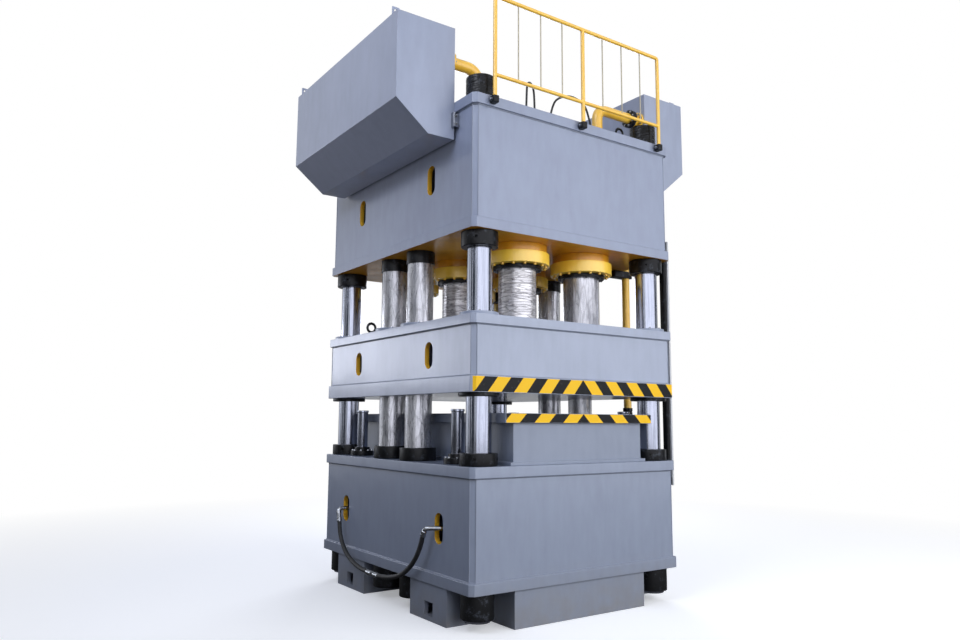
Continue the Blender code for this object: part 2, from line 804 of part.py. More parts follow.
def corner_columns():
    """Each corner column is turned with its two end nuts in one outline; its collars are loose."""
    r, edge = COLUMN_R, NUT_EDGE
    head = CROWN_TOP + NUT_HEIGHT
    low = FOOT_NUT_Z - COLUMN_STUB
    neck, foot = CROWN_TOP + SEAT, BED_Z - SEAT
    profile = [
        (0, COLUMN_TOP), (r - edge, COLUMN_TOP), (r, COLUMN_TOP - edge), (r, head),
        (NUT_R - edge, head), (NUT_R, head - edge), (NUT_R, neck), (r, neck),
        (r, foot), (FOOT_NUT_R, foot), (FOOT_NUT_R, FOOT_NUT_Z + edge),
        (FOOT_NUT_R - edge, FOOT_NUT_Z), (r, FOOT_NUT_Z), (r, low + edge), (r - edge, low),
        (0, low),
    ]
    for place, x, y in corner_places(COLUMN_X, COLUMN_Y):
        turned("column_" + place, profile, (x, y, 0), "chrome")
        round_nut("upper_collar_" + place, UPPER_COLLAR_R, CROWN_Z - UPPER_COLLAR_HEIGHT,
                  UPPER_COLLAR_HEIGHT - SEAT, (x, y), False, UPPER_HOLES_AT)
        round_nut("lower_collar_" + place, LOWER_COLLAR_R, BED_TOP + SEAT,
                  LOWER_COLLAR_HEIGHT - SEAT, (x, y), True, LOWER_HOLES_AT)


def mid_columns():
    """Each column of the middle is turned with its two collars and its end nuts in one outline."""
    r = MID_COLUMN_R
    for place, x, y in corner_places(COLUMN_X, MID_COLUMN_Y):
        head = CROWN_TOP + MID_HEAD_HEIGHT
        stub = head + COLUMN_STUB
        neck = CROWN_TOP + SEAT
        upper = CROWN_Z - SEAT
        lower = BED_TOP + SEAT
        foot = BED_Z - SEAT
        profile = [
            (0, stub), (r - NUT_EDGE, stub), (r - NUT_EDGE, head),
            (MID_HEAD_R, head), (MID_HEAD_R, neck), (r, neck),
            (r, upper), (MID_UPPER_R, upper), (MID_UPPER_R, CROWN_Z - MID_UPPER_HEIGHT),
            (r, CROWN_Z - MID_UPPER_HEIGHT),
            (r, BED_TOP + MID_LOWER_HEIGHT), (MID_LOWER_R, BED_TOP + MID_LOWER_HEIGHT),
            (MID_LOWER_R, lower), (r, lower),
            (r, foot), (MID_FOOT_NUT_R, foot), (MID_FOOT_NUT_R, FOOT_NUT_Z), (0, FOOT_NUT_Z),
        ]
        turned("mid_column_" + place, profile, (x, y, 0), "wrapped_steel")


def slide():
    """The moving weldment with its bush flanges, and a wiper ring under it at each corner."""
    body = welded_body("slide", SLIDE_Z, SLIDE_TOP, SLIDE_LOW_PLATE, SLIDE_TOP_PLATE)
    hollow_out(
        body, "slide", SLIDE_Z + SLIDE_LOW_PLATE, SLIDE_TOP - SLIDE_TOP_PLATE, SLIDE_HOLE_R
    )
    tops = bmesh.new()
    for radius, places in column_places():
        for _, x, y in places:
            add_rod(tops, (x, y, SLIDE_TOP - WALL), (x, y, SLIDE_TOP + BUSH_TOP_HEIGHT),
                    radius + BUSH_FLANGE)
    join(body, object_from(tops, "slide_bushes"))
    cut(body, column_rods("slide_bores", SLIDE_Z - 2 * WALL, SLIDE_TOP + 2 * WALL,
                          (RUNNING, FILM_ROOM)))
    cut(body, side_slots("slide_slots", SLIDE_SLOT_Y, SLIDE_Z + SLIDE_SLOT_RISE,
                         SLIDE_SLOT_HEIGHT))
    for side in SIDES:
        join(body, *lifting_eye("slide_eye_" + str(side), side * SLIDE_EYE_X, SLIDE_EYE_Y,
                                SLIDE_TOP))
    for place, x, y in corner_places(COLUMN_X, COLUMN_Y):
        collar_ring("wiper_ring_" + place, COLUMN_R + WIPER_FLANGE, COLUMN_R + RUNNING,
                    SLIDE_Z - WIPER_HEIGHT, WIPER_HEIGHT - SEAT, (x, y), False)


def main_cylinders():
    """Barrels hung in the crown by a stepped flange, with the plungers that carry the slide."""
    top_of_plunger = CROWN_Z + PLUNGER_IN_CYLINDER
    bore_top = top_of_plunger + STROKE_UP + BARREL_ROOM
    step_z = CROWN_Z - FLANGE_STEP_HEIGHT
    flange_z = step_z - FLANGE_HEIGHT
    gland_z = flange_z - GLAND_HEIGHT
    gland_bore = PLUNGER_R + GLAND_GAP
    seat_z = CROWN_Z - SEAT
    for place, x, y in cylinder_places():
        profile = [
            (0, bore_top + BARREL_END), (BARREL_R, bore_top + BARREL_END),
            (BARREL_R, seat_z), (FLANGE_STEP_R, seat_z), (FLANGE_STEP_R, step_z),
            (FLANGE_R, step_z), (FLANGE_R, flange_z), (GLAND_R, flange_z), (GLAND_R, gland_z),
            (gland_bore, gland_z), (gland_bore, flange_z + GLAND_HEIGHT),
            (BARREL_BORE_R, flange_z + GLAND_HEIGHT), (BARREL_BORE_R, bore_top), (0, bore_top),
        ]
        turned("main_cylinder_" + place, profile, (x, y, 0), "signal_yellow", CYLINDER_STEPS)
        foot = SLIDE_TOP + SEAT
        shoulder = SLIDE_TOP + PLUNGER_FOOT_HEIGHT
        turned(
            "plunger_" + place,
            [(0, top_of_plunger), (PLUNGER_R, top_of_plunger), (PLUNGER_R, shoulder),
             (PLUNGER_FOOT_R, shoulder), (PLUNGER_FOOT_R, foot), (0, foot)],
            (x, y, 0), "wrapped_steel",
        )


def levelling_cylinders():
    """Short cylinders let into the bed, whose rods meet the slide at the end of its stroke."""
    flange_top = BED_TOP + LEVEL_FLANGE_HEIGHT
    gland_top = flange_top + LEVEL_GLAND_HEIGHT
    bottom = BED_TOP - LEVEL_BARREL_DEPTH
    bore_r = LEVEL_ROD_R + RUNNING
    cap_low = LEVEL_ROD_TOP - LEVEL_CAP_HEIGHT
    rod_low = BED_TOP - LEVEL_ROD_IN_BARREL
    for place, x, y in corner_places(LEVEL_X, LEVEL_Y):
        turned(
            "levelling_barrel_" + place,
            [(bore_r, gland_top), (LEVEL_GLAND_R, gland_top), (LEVEL_GLAND_R, flange_top),
             (LEVEL_FLANGE_R, flange_top), (LEVEL_FLANGE_R, BED_TOP + SEAT),
             (LEVEL_BARREL_R, BED_TOP + SEAT), (LEVEL_BARREL_R, bottom), (0, bottom),
             (0, bottom + LEVEL_END), (bore_r, bottom + LEVEL_END)],
            (x, y, 0), "shadow_black", closed=True,
        )
        turned(
            "levelling_rod_" + place,
            [(0, LEVEL_ROD_TOP), (LEVEL_CAP_R, LEVEL_ROD_TOP), (LEVEL_CAP_R, cap_low),
             (LEVEL_ROD_R, cap_low), (LEVEL_ROD_R, rod_low), (0, rod_low)],
            (x, y, 0), "chrome",
        )


def tank(name, side):
    """A folded sheet tank, five-sided in section, that hangs on the crown's side."""
    face, out = TANK_FACE_X, TANK_FACE_X + TANK_WIDTH
    top = CROWN_TOP + TANK_TOP_RISE
    floor = CROWN_TOP - TANK_LOW_DROP
    outline = [
        (face, top), (face, floor), (face + TANK_FLOOR_WIDTH, floor),
        (out, CROWN_TOP - TANK_KNEE_DROP), (out, top),
    ]
    bm = bmesh.new()
    ends = [
        [bm.verts.new((side * x, y, z)) for x, z in outline]
        for y in (-TANK_LENGTH / 2, TANK_LENGTH / 2)
    ]
    bm.faces.new(ends[0])
    bm.faces.new(reversed(ends[1]))
    for i in range(len(outline)):
        j = (i + 1) % len(outline)
        bm.faces.new((ends[0][j], ends[0][i], ends[1][i], ends[1][j]))
    bmesh.ops.recalc_face_normals(bm, faces=list(bm.faces))
    body = object_from(bm, name, "machine_grey")
    shell = body.modifiers.new("sheet", "SOLIDIFY")
    shell.thickness = TANK_SHEET
    shell.offset = -1.0
    shell.use_even_offset = True
    port = rods(
        name + "_port",
        [((side * (face - WALL), -PIPE_Y, PIPE_Z), (side * (face + WALL), -PIPE_Y, PIPE_Z))],
        PORT_R,
    )
    cut(body, port)
    lug_x = sorted((side * out, side * (out - TANK_LUG)))
    for end in SIDES:
        y = end * PIPE_Y
        lug = box(
            name + "_lug_" + str(end),
            (lug_x[0], y - TANK_LUG_THICK / 2, top - TANK_SHEET / 2),
            (lug_x[1], y + TANK_LUG_THICK / 2, top + TANK_LUG),
        )
        eye_x = sum(lug_x) / 2
        hole = rods(
            name + "_lug_hole_" + str(end),
            [((eye_x, y - WALL, top + TANK_LUG / 2), (eye_x, y + WALL, top + TANK_LUG / 2))],
            TANK_LUG_HOLE_R, steps=SMALL_STEPS,
        )
        join(body, lug)
        cut(body, hole)
    return body


def tank_pipe(name, side, leg_x, joint_x=None):
    """A flanged pipe from the tank's port, over the column nut and down onto the crown."""
    y = -PIPE_Y
    end_x = side * (TANK_FACE_X - SEAT)
    path = rounded_path(
        [(end_x, y, PIPE_Z), (side * leg_x, y, PIPE_Z), (side * leg_x, y, CROWN_TOP + SEAT)],
        PIPE_BEND_R,
    )
    pipe = tube(name, path, PIPE_R, finish="signal_yellow")
    discs = [
        ((side * (TANK_FACE_X - PIPE_FLANGE_HEIGHT), y, PIPE_Z), (end_x, y, PIPE_Z)),
        ((side * leg_x, y, CROWN_TOP + SEAT), (side * leg_x, y, CROWN_TOP + PIPE_FLANGE_HEIGHT)),
    ]
    if joint_x:
        discs.append((
            (side * (joint_x - PIPE_FLANGE_HEIGHT), y, PIPE_Z),
            (side * (joint_x + PIPE_FLANGE_HEIGHT), y, PIPE_Z),
        ))
    return join(pipe, rods(name + "_flanges", discs, PIPE_FLANGE_R))


def fill_pipe():
    """The pipe that runs from the right tank's floor down past the slide to the bed."""
    y = -FILL_Y
    tank_floor = CROWN_TOP - TANK_LOW_DROP
    path = rounded_path(
        [(FILL_X, y, tank_floor - SEAT), (FILL_X, y, FILL_LOW_Z),
         (WALL_X + SEAT, y, FILL_LOW_Z)],
        FILL_BEND_R,
    )
    pipe = tube("fill_pipe", path, FILL_R, finish="signal_yellow")
    discs = [
        ((FILL_X, y, tank_floor - PIPE_FLANGE_HEIGHT), (FILL_X, y, tank_floor - SEAT)),
        ((FILL_X, y, FILL_UNION_Z - FILL_R), (FILL_X, y, FILL_UNION_Z + FILL_R)),
        ((WALL_X + SEAT, y, FILL_LOW_Z), (WALL_X + PIPE_FLANGE_HEIGHT / 2, y, FILL_LOW_Z)),
    ]
    clamp = box(
        "fill_clamp",
        (WIDTH / 2 - 3 * FILL_R, y - FILL_CLAMP_HALF, FILL_CLAMP_Z),
        (FILL_X + FILL_CLAMP_HALF, y + FILL_CLAMP_HALF, CROWN_Z - SEAT),
    )
    return join(pipe, rods("fill_unions", discs, FILL_UNION_R), clamp)


def switch_post():
    """A square post with a thin scale bar, bolted to the sides of the bed and the crown."""
    y, bar_y = -POST_Y, -BAR_Y
    post = box(
        "switch_post", (POST_X - POST_HALF, y - POST_HALF, POST_LOW_Z),
        (POST_X + POST_HALF, y + POST_HALF, POST_TOP_Z), "machine_grey",
    )
    bar = box(
        "scale_bar", (POST_X - BAR_HALF, bar_y - BAR_HALF, POST_LOW_Z),
        (POST_X + BAR_HALF, bar_y + BAR_HALF, POST_TOP_Z),
    )
    feet = bmesh.new()
    for z in (POST_LOW_Z, POST_TOP_Z - POST_FOOT_HEIGHT):
        add_box(
            feet, (WALL_X + SEAT, bar_y - BAR_HALF / 2, z + EDGE_ROUND),
            (POST_X + BAR_HALF / 2, y + POST_HALF / 2, z + POST_FOOT_HEIGHT - EDGE_ROUND),
        )
    return join(post, bar, object_from(feet, "post_feet"))


def guard_rail():
    """Three posts with a top and a lower rail, thin rods between them, and feet on the crown."""
    y = -(DEPTH / 2 + RAIL_OUT)
    half = RAIL_SPAN / 2
    low_z, top_z = CROWN_TOP + RAIL_LOW_RISE, CROWN_TOP + RAIL_TOP_RISE
    foot_z = CROWN_TOP - RAIL_FOOT_DROP
    rail = rods("guard_rail", [((-half, y, top_z), (half, y, top_z))], RAIL_R, "signal_yellow",
                steps=SMALL_STEPS)
    low = rods("low_rail", [((-half, y, low_z), (half, y, low_z))], RAIL_LOW_R,
               steps=SMALL_STEPS)
    post_xs = [-half + RAIL_SPAN * i / (RAIL_POSTS - 1) for i in range(RAIL_POSTS)]
    posts = rods(
        "rail_posts",
        [((x, y, foot_z + RAIL_R), (x, y, top_z + RAIL_POST_LAP)) for x in post_xs],
        RAIL_POST_R, steps=SMALL_STEPS,
    )
    bay = RAIL_SPAN / (RAIL_POSTS - 1)
    thin_xs = [
        x + bay * (i + 1) / (RAIL_RODS + 1) for x in post_xs[:-1] for i in range(RAIL_RODS)
    ]
    thin = rods("rail_rods", [((x, y, low_z), (x, y, top_z)) for x in thin_xs], RAIL_ROD_R,
                steps=6)
    feet = bmesh.new()
    for x in post_xs:
        add_box(feet, (x - RAIL_FOOT_HALF, y - RAIL_FOOT_HALF, foot_z),
                (x + RAIL_FOOT_HALF, -(DEPTH / 2 + SEAT), CROWN_TOP - RAIL_R))
    return join(rail, low, posts, thin, object_from(feet, "rail_feet"))


def crown_hoses():
    """Name, plan places of both ends, and (rise, half width of the top) of each small hose."""
    y = -DEPTH / 2
    return [
        ("hairpin", (-0.40, y + 0.385), (-0.17, y + 0.515), (HAIRPIN_RISE, HAIRPIN_TOP_R)),
        ("arch", (-0.05, y + 0.450), (RIGHT_PIPE_X - ARCH_TO_PIPE, y + 0.330),
         (ARCH_RISE, ARCH_TOP_R)),
    ]


def small_hoses():
    """Each small hose leans in from its two bosses to a round top."""
    low = CROWN_TOP + HOSE_BOSS_HEIGHT + SEAT
    for name, start, end, (rise, top_r) in crown_hoses():
        start, end = Vector((*start, low)), Vector((*end, low))
        middle, across = (start + end) / 2, (end - start).normalized() * top_r
        high = Vector((0, 0, CROWN_TOP + rise - low))
        drop = Vector((0, 0, top_r))
        top = [
            middle + high - drop - across * math.cos(turn) + drop * math.sin(turn)
            for turn in (0, math.pi / 4, math.pi / 2, 3 * math.pi / 4, math.pi)
        ]
        legs = [start + (top[0] - start) * 0.5, end + (top[-1] - end) * 0.5]
        straight = Vector((0, 0, 2 * CROWN_HOSE_R))
        rising = [start + straight * i for i in range(3)]
        falling = [end + straight * i for i in (2, 1, 0)]
        route = [*rising, legs[0], *top, legs[1], *falling]
        tube_curve("crown_hose_" + name, smooth_path(route, CROWN_HOSE_STEPS), CROWN_HOSE_R, 2,
                   "hose_rubber")


def hose_and_fittings():
    """The hose hangs between the fittings of the front and the rear levelling cylinder."""
    z = BED_Z + BED_SLOT_RISE
    barrel_face = -(LEVEL_X + LEVEL_BARREL_R + SEAT)
    route = [
        (0.074, -0.868, 0.765), (0.077, -0.822, 0.655), (0.080, -0.745, 0.545),
        (0.082, -0.640, 0.450), (0.084, -0.490, 0.365), (0.085, -0.290, 0.308),
        (0.085, -0.070, 0.282), (0.084, 0.140, 0.278), (0.082, 0.380, 0.292),
        (0.079, 0.590, 0.335), (0.076, 0.750, 0.403), (0.073, 0.858, 0.492),
        (0.070, 0.925, 0.595), (0.066, 0.958, 0.700),
    ]
    run = smooth_path([(-WIDTH / 2 - out, y, z) for out, y, z in route], HOSE_STEPS)
    tube_curve("hose", run, HOSE_R, 2, "hose_rubber")
    ends = {"front": (-BED_SLOT_Y, run[0], run[1]), "rear": (BED_SLOT_Y, run[-1], run[-2])}
    for place, (y, tip, beyond) in ends.items():
        way = (tip - beyond).normalized()
        elbow = tip + way * (z - tip.z) / way.z
        path = rounded_path(
            [(barrel_face, y, z), (barrel_face - FITTING_STRAIGHT, y, z), elbow, tip + way * SEAT],
            FITTING_BEND_R,
        )
        tube("hose_fitting_" + place, path, HOSE_FITTING_R, finish="chrome")


def build():
    pedestal()
    bed()
    bolster()
    crown()
    corner_columns()
    mid_columns()
    slide()
    main_cylinders()
    levelling_cylinders()
    tank("oil_tank_left", -1)
    tank("oil_tank_right", 1)
    tank_pipe("tank_pipe_left", -1, LEFT_PIPE_X)
    tank_pipe("tank_pipe_right", 1, RIGHT_PIPE_X, JOINT_FLANGE_X)
    fill_pipe()
    switch_post()
    guard_rail()
    hose_and_fittings()
    small_hoses()


build()
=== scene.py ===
"""Looks of the column hydraulic press, dressed on its solid model, in metres with +Z up.

Blue-grey enamel on the weldments and tanks, hard chrome and clear film on the columns and plungers,
black nuts and collars, yellow flanges, pipes and rail, bolts, weld beads, edge stripes and hoses.
"""

import math

import bmesh
import bpy
import numpy as np
from mathutils import Matrix, Vector


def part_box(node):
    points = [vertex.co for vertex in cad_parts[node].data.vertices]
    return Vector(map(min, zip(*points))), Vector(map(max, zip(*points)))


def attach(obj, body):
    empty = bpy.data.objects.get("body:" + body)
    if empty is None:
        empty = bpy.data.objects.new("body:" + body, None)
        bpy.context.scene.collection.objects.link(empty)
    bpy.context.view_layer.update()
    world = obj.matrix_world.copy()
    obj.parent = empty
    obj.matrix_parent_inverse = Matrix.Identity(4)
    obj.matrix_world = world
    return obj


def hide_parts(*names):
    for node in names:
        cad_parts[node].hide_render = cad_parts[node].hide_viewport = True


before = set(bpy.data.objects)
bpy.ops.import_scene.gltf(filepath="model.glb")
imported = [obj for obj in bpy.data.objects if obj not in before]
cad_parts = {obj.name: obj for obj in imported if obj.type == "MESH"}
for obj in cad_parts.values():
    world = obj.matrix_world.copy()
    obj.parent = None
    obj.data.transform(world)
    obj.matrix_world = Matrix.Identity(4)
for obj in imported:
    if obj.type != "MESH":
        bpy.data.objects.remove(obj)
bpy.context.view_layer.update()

# Outline and levels of the solid model
HALF_X, HALF_Y = 1.30, 1.55
WALL_X, WALL_Y = 1.275, 1.525
CHAMFER = 0.040
BED_Z, BED_TOP = 0.334, 1.417
BOLSTER_TOP, TABLE_Z = 1.800, 1.890
SLIDE_Z, SLIDE_TOP, SLIDE_PLATE = 2.070, 2.773, 0.147
CROWN_Z, CROWN_TOP = 3.556, 4.831
COLUMN_TOP = 5.056
FOOT_NUT_Z = 0.104
SEAT = 0.0003

# Side slots of each weldment: distance from the middle, height above the floor, and length
SLOTS = {"crown": (0.76, 4.180, 0.30), "slide": (0.76, 2.440, 0.26), "bed": (0.985, 0.840, 0.28)}
SLOT_WIDTH, WALL = 0.145, 0.050

# Columns, cylinders and their places
PLACES = ("front_left", "front_right", "rear_left", "rear_right")
COLUMN, COLUMN_R, COLUMN_FOOT = (1.10, 1.36), 0.1175, 0.079
MID_COLUMN = (1.10, 0.28)
LEVEL = (1.09, 1.00)
CYLINDER_X, CYLINDER_PITCH = 0.43, 1.06
GLAND_Z = 3.316

# Tanks, pipes and their ports in the bed, guard rail, and hoses with the bosses of the small ones
TANK_HALF_Y, TANK_LOW_Z = 1.21, 4.460
PIPE_Y, PIPE_Z, PIPE_R = -1.10, 5.280, 0.059
PORT_Z = 0.84
FILL_X, FILL_Y, FILL_R = 1.392, -0.77, 0.044
RAIL_X, RAIL_Y, RAIL_TOP_Z, RAIL_LOW_Z = 1.10, -1.595, 5.800, 5.020
HOSE_R, ARCH_R = 0.0225, 0.011
HAIRPIN_BOSSES = ((-0.40, -1.165), (-0.17, -1.035))
ARCH_BOSSES = ((-0.05, -1.10), (0.47, -1.22))


def corners_of(x, y):
    """The four mirrored places, in the order of PLACES."""
    return [(-x, -y), (x, -y), (-x, y), (x, y)]


def nodes_at(stem):
    """The names of four like solids, in the order of PLACES."""
    return [stem + "_" + place for place in PLACES]


def look_from_photo():
    """The camera where the photograph was taken, 960 by 640, turned and tilted as it was."""
    yaw, pitch, roll = (math.radians(angle) for angle in (34.707, 7.422, 0.356))
    level = Vector((math.sin(yaw), math.cos(yaw), 0))
    forward = level * math.cos(pitch) + Vector((0, 0, math.sin(pitch)))
    right = Vector((math.cos(yaw), -math.sin(yaw), 0))
    up = right.cross(forward)
    turned_right = right * math.cos(roll) + up * math.sin(roll)
    turned_up = up * math.cos(roll) - right * math.sin(roll)
    place = Matrix((turned_right, turned_up, -forward)).transposed().to_4x4()
    place.translation = (-5.0986, -7.1464, 1.820)
    lens = bpy.data.cameras.new("photo_camera")
    lens.sensor_width = 36
    lens.lens = 28.96
    lens.clip_end = 200
    camera = bpy.data.objects.new("photo_camera", lens)
    camera.matrix_world = place
    bpy.context.scene.collection.objects.link(camera)
    bpy.context.scene.camera = camera


look_from_photo()


# Materials

def rgb(code):
    """A colour written as sRGB hex, as the linear values that shaders take."""
    part = np.array([int(code[i:i + 2], 16) for i in (1, 3, 5)]) / 255
    linear = np.where(part <= 0.04045, part / 12.92, ((part + 0.055) / 1.055) ** 2.4)
    return (*linear.tolist(), 1.0)


def per(millimetres):
    """The texture scale whose pattern repeats about every so many millimetres."""
    return 1000.0 / millimetres


def add(tree, kind, inputs=None, **settings):
    """One node with its settings; an input is a number, a colour, or what it is linked from."""
    node = tree.nodes.new("ShaderNode" + kind)
    for key, value in settings.items():
        setattr(node, key, value)
    for key, value in (inputs or {}).items():
        if isinstance(value, bpy.types.Node):
            value = value.outputs[0]
        if isinstance(value, bpy.types.NodeSocket):
            tree.links.new(value, node.inputs[key])
        else:
            node.inputs[key].default_value = value
    return node


def new_nodes(owner):
    """A material's or the world's empty node tree."""
    owner.use_nodes = True
    owner.node_tree.nodes.clear()
    return owner.node_tree


def new_finish(name, colour, roughness, **sockets):
    """A material with a Principled shader, and the object's own coordinates in metres."""
    material = bpy.data.materials.new(name)
    tree = new_nodes(material)
    values = {"Base Color": rgb(colour), "Roughness": roughness}
    values.update({key.replace("_", " "): value for key, value in sockets.items()})
    shader = add(tree, "BsdfPrincipled", values)
    add(tree, "OutputMaterial", {"Surface": shader})
    return material, tree, shader, add(tree, "TexCoord").outputs["Object"]


def enamel(name, colour, shade, dust=0.0, shine=0.5):
    """Sprayed enamel: it drifts in tone over a hand's width, with faint runs down the plate,
    a slight orange peel and buckles that bend the light on wide plates, and floor dust."""
    roughness = 0.34
    material, tree, shader, place = new_finish(
        name, colour, roughness, Coat_Weight=0.45, Coat_Roughness=0.13,
        Specular_IOR_Level=shine
    )
    clouds = add(tree, "TexNoise", {"Vector": place, "Scale": per(700), "Detail": 5.0,
                                    "Roughness": 0.62})
    runs_at = add(tree, "Mapping", {"Vector": place, "Scale": (1.0, 1.0, 0.28)})
    runs = add(tree, "TexNoise", {"Vector": runs_at, "Scale": per(85), "Detail": 4.0})
    both = add(tree, "Math", {0: clouds, 1: runs}, operation="MULTIPLY")
    share = add(tree, "MapRange", {"Value": both, "From Min": 0.12, "From Max": 0.40,
                                   "To Min": 0.0, "To Max": 0.70})
    tone = add(tree, "Mix", {0: share, 6: rgb(colour), 7: rgb(shade)}, data_type="RGBA")
    tone = tone.outputs[2]
    if dust:
        height = add(tree, "SeparateXYZ", {0: place}).outputs[2]
        grime = add(tree, "TexNoise", {"Vector": place, "Scale": per(120), "Detail": 6.0})
        low = add(tree, "MapRange", {"Value": height, "From Min": 0.0, "From Max": 0.55,
                                     "To Min": dust, "To Max": 0.0})
        amount = add(tree, "Math", {0: low, 1: grime}, operation="MULTIPLY")
        tone = add(tree, "Mix", {0: amount, 6: tone, 7: rgb("#8A8375")}, data_type="RGBA")
        tone = tone.outputs[2]
    tree.links.new(tone, shader.inputs["Base Color"])
    dull = add(tree, "MapRange", {"Value": clouds, "To Min": roughness - 0.07,
                                  "To Max": roughness + 0.12})
    tree.links.new(dull.outputs[0], shader.inputs["Roughness"])
    # Real orange peel is 2 to 3 mm; it is drawn at 9 mm so that a view of the whole press keeps it
    peel = add(tree, "TexNoise", {"Vector": place, "Scale": per(9), "Detail": 2.0})
    buckle = add(tree, "TexNoise", {"Vector": place, "Scale": per(420), "Detail": 1.0})
    wide = add(tree, "Bump", {"Height": buckle, "Distance": 0.012, "Strength": 0.35})
    fine = add(tree, "Bump", {"Height": peel, "Distance": 0.0006, "Strength": 0.45,
                              "Normal": wide.outputs[0]})
    tree.links.new(fine.outputs[0], shader.inputs["Normal"])
    tree.links.new(fine.outputs[0], shader.inputs["Coat Normal"])
    return material


def hard_chrome(name, colour, oil=0.35):
    """Ground hard chrome: a bright bar with a hazy oil film that runs down it in streaks."""
    material, tree, shader, place = new_finish(name, colour, 0.10, Metallic=1.0)
    down = add(tree, "Mapping", {"Vector": place, "Scale": (1.0, 1.0, 0.05)})
    streaks = add(tree, "TexNoise", {"Vector": down, "Scale": per(26), "Detail": 4.0,
                                     "Roughness": 0.7})
    haze = add(tree, "TexNoise", {"Vector": place, "Scale": per(180), "Detail": 5.0})
    both = add(tree, "Math", {0: streaks, 1: haze}, operation="MULTIPLY")
    rough = add(tree, "MapRange", {"Value": both, "From Min": 0.12, "From Max": 0.45,
                                   "To Min": 0.13, "To Max": 0.30})
    tree.links.new(rough.outputs[0], shader.inputs["Roughness"])
    share = add(tree, "MapRange", {"Value": streaks, "From Min": 0.45, "From Max": 0.75,
                                   "To Min": 0.0, "To Max": oil})
    tone = add(tree, "Mix", {0: share, 6: rgb(colour), 7: rgb("#565B66")}, data_type="RGBA")
    tree.links.new(tone.outputs[2], shader.inputs["Base Color"])
    return material


def wrapped_steel(name, colour, shade, stretch, metal, crease):
    """Clear stretch film on a polished bar: sharp small creases along the wrap, glossy on top,
    with milky clouds where several turns lie on each other, and painted shade: a dark line in each
    crease."""
    material, tree, shader, place = new_finish(
        name, colour, 0.26, Metallic=metal, Coat_Weight=0.7, Coat_Roughness=0.10
    )
    along = add(tree, "Mapping", {"Vector": place, "Scale": stretch})
    creases = add(tree, "TexNoise", {"Vector": along, "Scale": per(30), "Detail": 5.0,
                                     "Roughness": 0.72, "Distortion": 0.9})
    folds = add(tree, "TexVoronoi", {"Vector": along, "Scale": per(75), "Randomness": 1.0},
                feature="DISTANCE_TO_EDGE")
    milk = add(tree, "TexNoise", {"Vector": along, "Scale": per(160), "Detail": 6.0,
                                  "Roughness": 0.65})
    share = add(tree, "MapRange", {"Value": milk, "From Min": 0.38, "From Max": 0.66})
    tone = add(tree, "Mix", {0: share, 6: rgb(colour), 7: rgb(shade)}, data_type="RGBA")
    rough = add(tree, "MapRange", {"Value": creases, "To Min": 0.14, "To Max": 0.46})
    tree.links.new(rough.outputs[0], shader.inputs["Roughness"])
    edge = add(tree, "MapRange", {"Value": folds, "From Min": 0.0, "From Max": 0.10,
                                  "To Min": 1.0, "To Max": 0.0})
    # Painted shade: each crease is darkened towards a dark grey.
    painted_crease_shade = add(tree, "Math", {0: edge, 1: crease}, operation="MULTIPLY")
    tone = add(tree, "Mix", {0: painted_crease_shade, 6: tone.outputs[2], 7: rgb("#3C393D")}, data_type="RGBA")
    tree.links.new(tone.outputs[2], shader.inputs["Base Color"])
    height = add(tree, "Math", {0: creases, 1: edge}, operation="ADD")
    bump = add(tree, "Bump", {"Height": height, "Distance": 0.0022, "Strength": crease})
    tree.links.new(bump.outputs[0], shader.inputs["Normal"])
    tree.links.new(bump.outputs[0], shader.inputs["Coat Normal"])
    return material


def black_steel(name, colour="#0C0D0F", roughness=0.34, grain=22, depth=0.0012):
    """Blackened or black-painted steel, rubbed brighter where hands and bars touch it."""
    material, tree, shader, place = new_finish(
        name, colour, roughness, Coat_Weight=0.10, Coat_Roughness=0.18,
        Specular_IOR_Level=0.22
    )
    rubs = add(tree, "TexNoise", {"Vector": place, "Scale": per(60), "Detail": 7.0,
                                  "Roughness": 0.7})
    share = add(tree, "MapRange", {"Value": rubs, "From Min": 0.55, "From Max": 0.70,
                                   "To Min": 0.0, "To Max": 0.8})
    tone = add(tree, "Mix", {0: share, 6: rgb(colour), 7: rgb("#454A54")}, data_type="RGBA")
    tree.links.new(tone.outputs[2], shader.inputs["Base Color"])
    rough = add(tree, "MapRange", {"Value": rubs, "To Min": roughness - 0.12,
                                   "To Max": roughness + 0.22})
    tree.links.new(rough.outputs[0], shader.inputs["Roughness"])
    dents = add(tree, "TexNoise", {"Vector": place, "Scale": per(grain), "Detail": 3.0})
    bump = add(tree, "Bump", {"Height": dents, "Distance": depth, "Strength": 0.6})
    tree.links.new(bump.outputs[0], shader.inputs["Normal"])
    return material


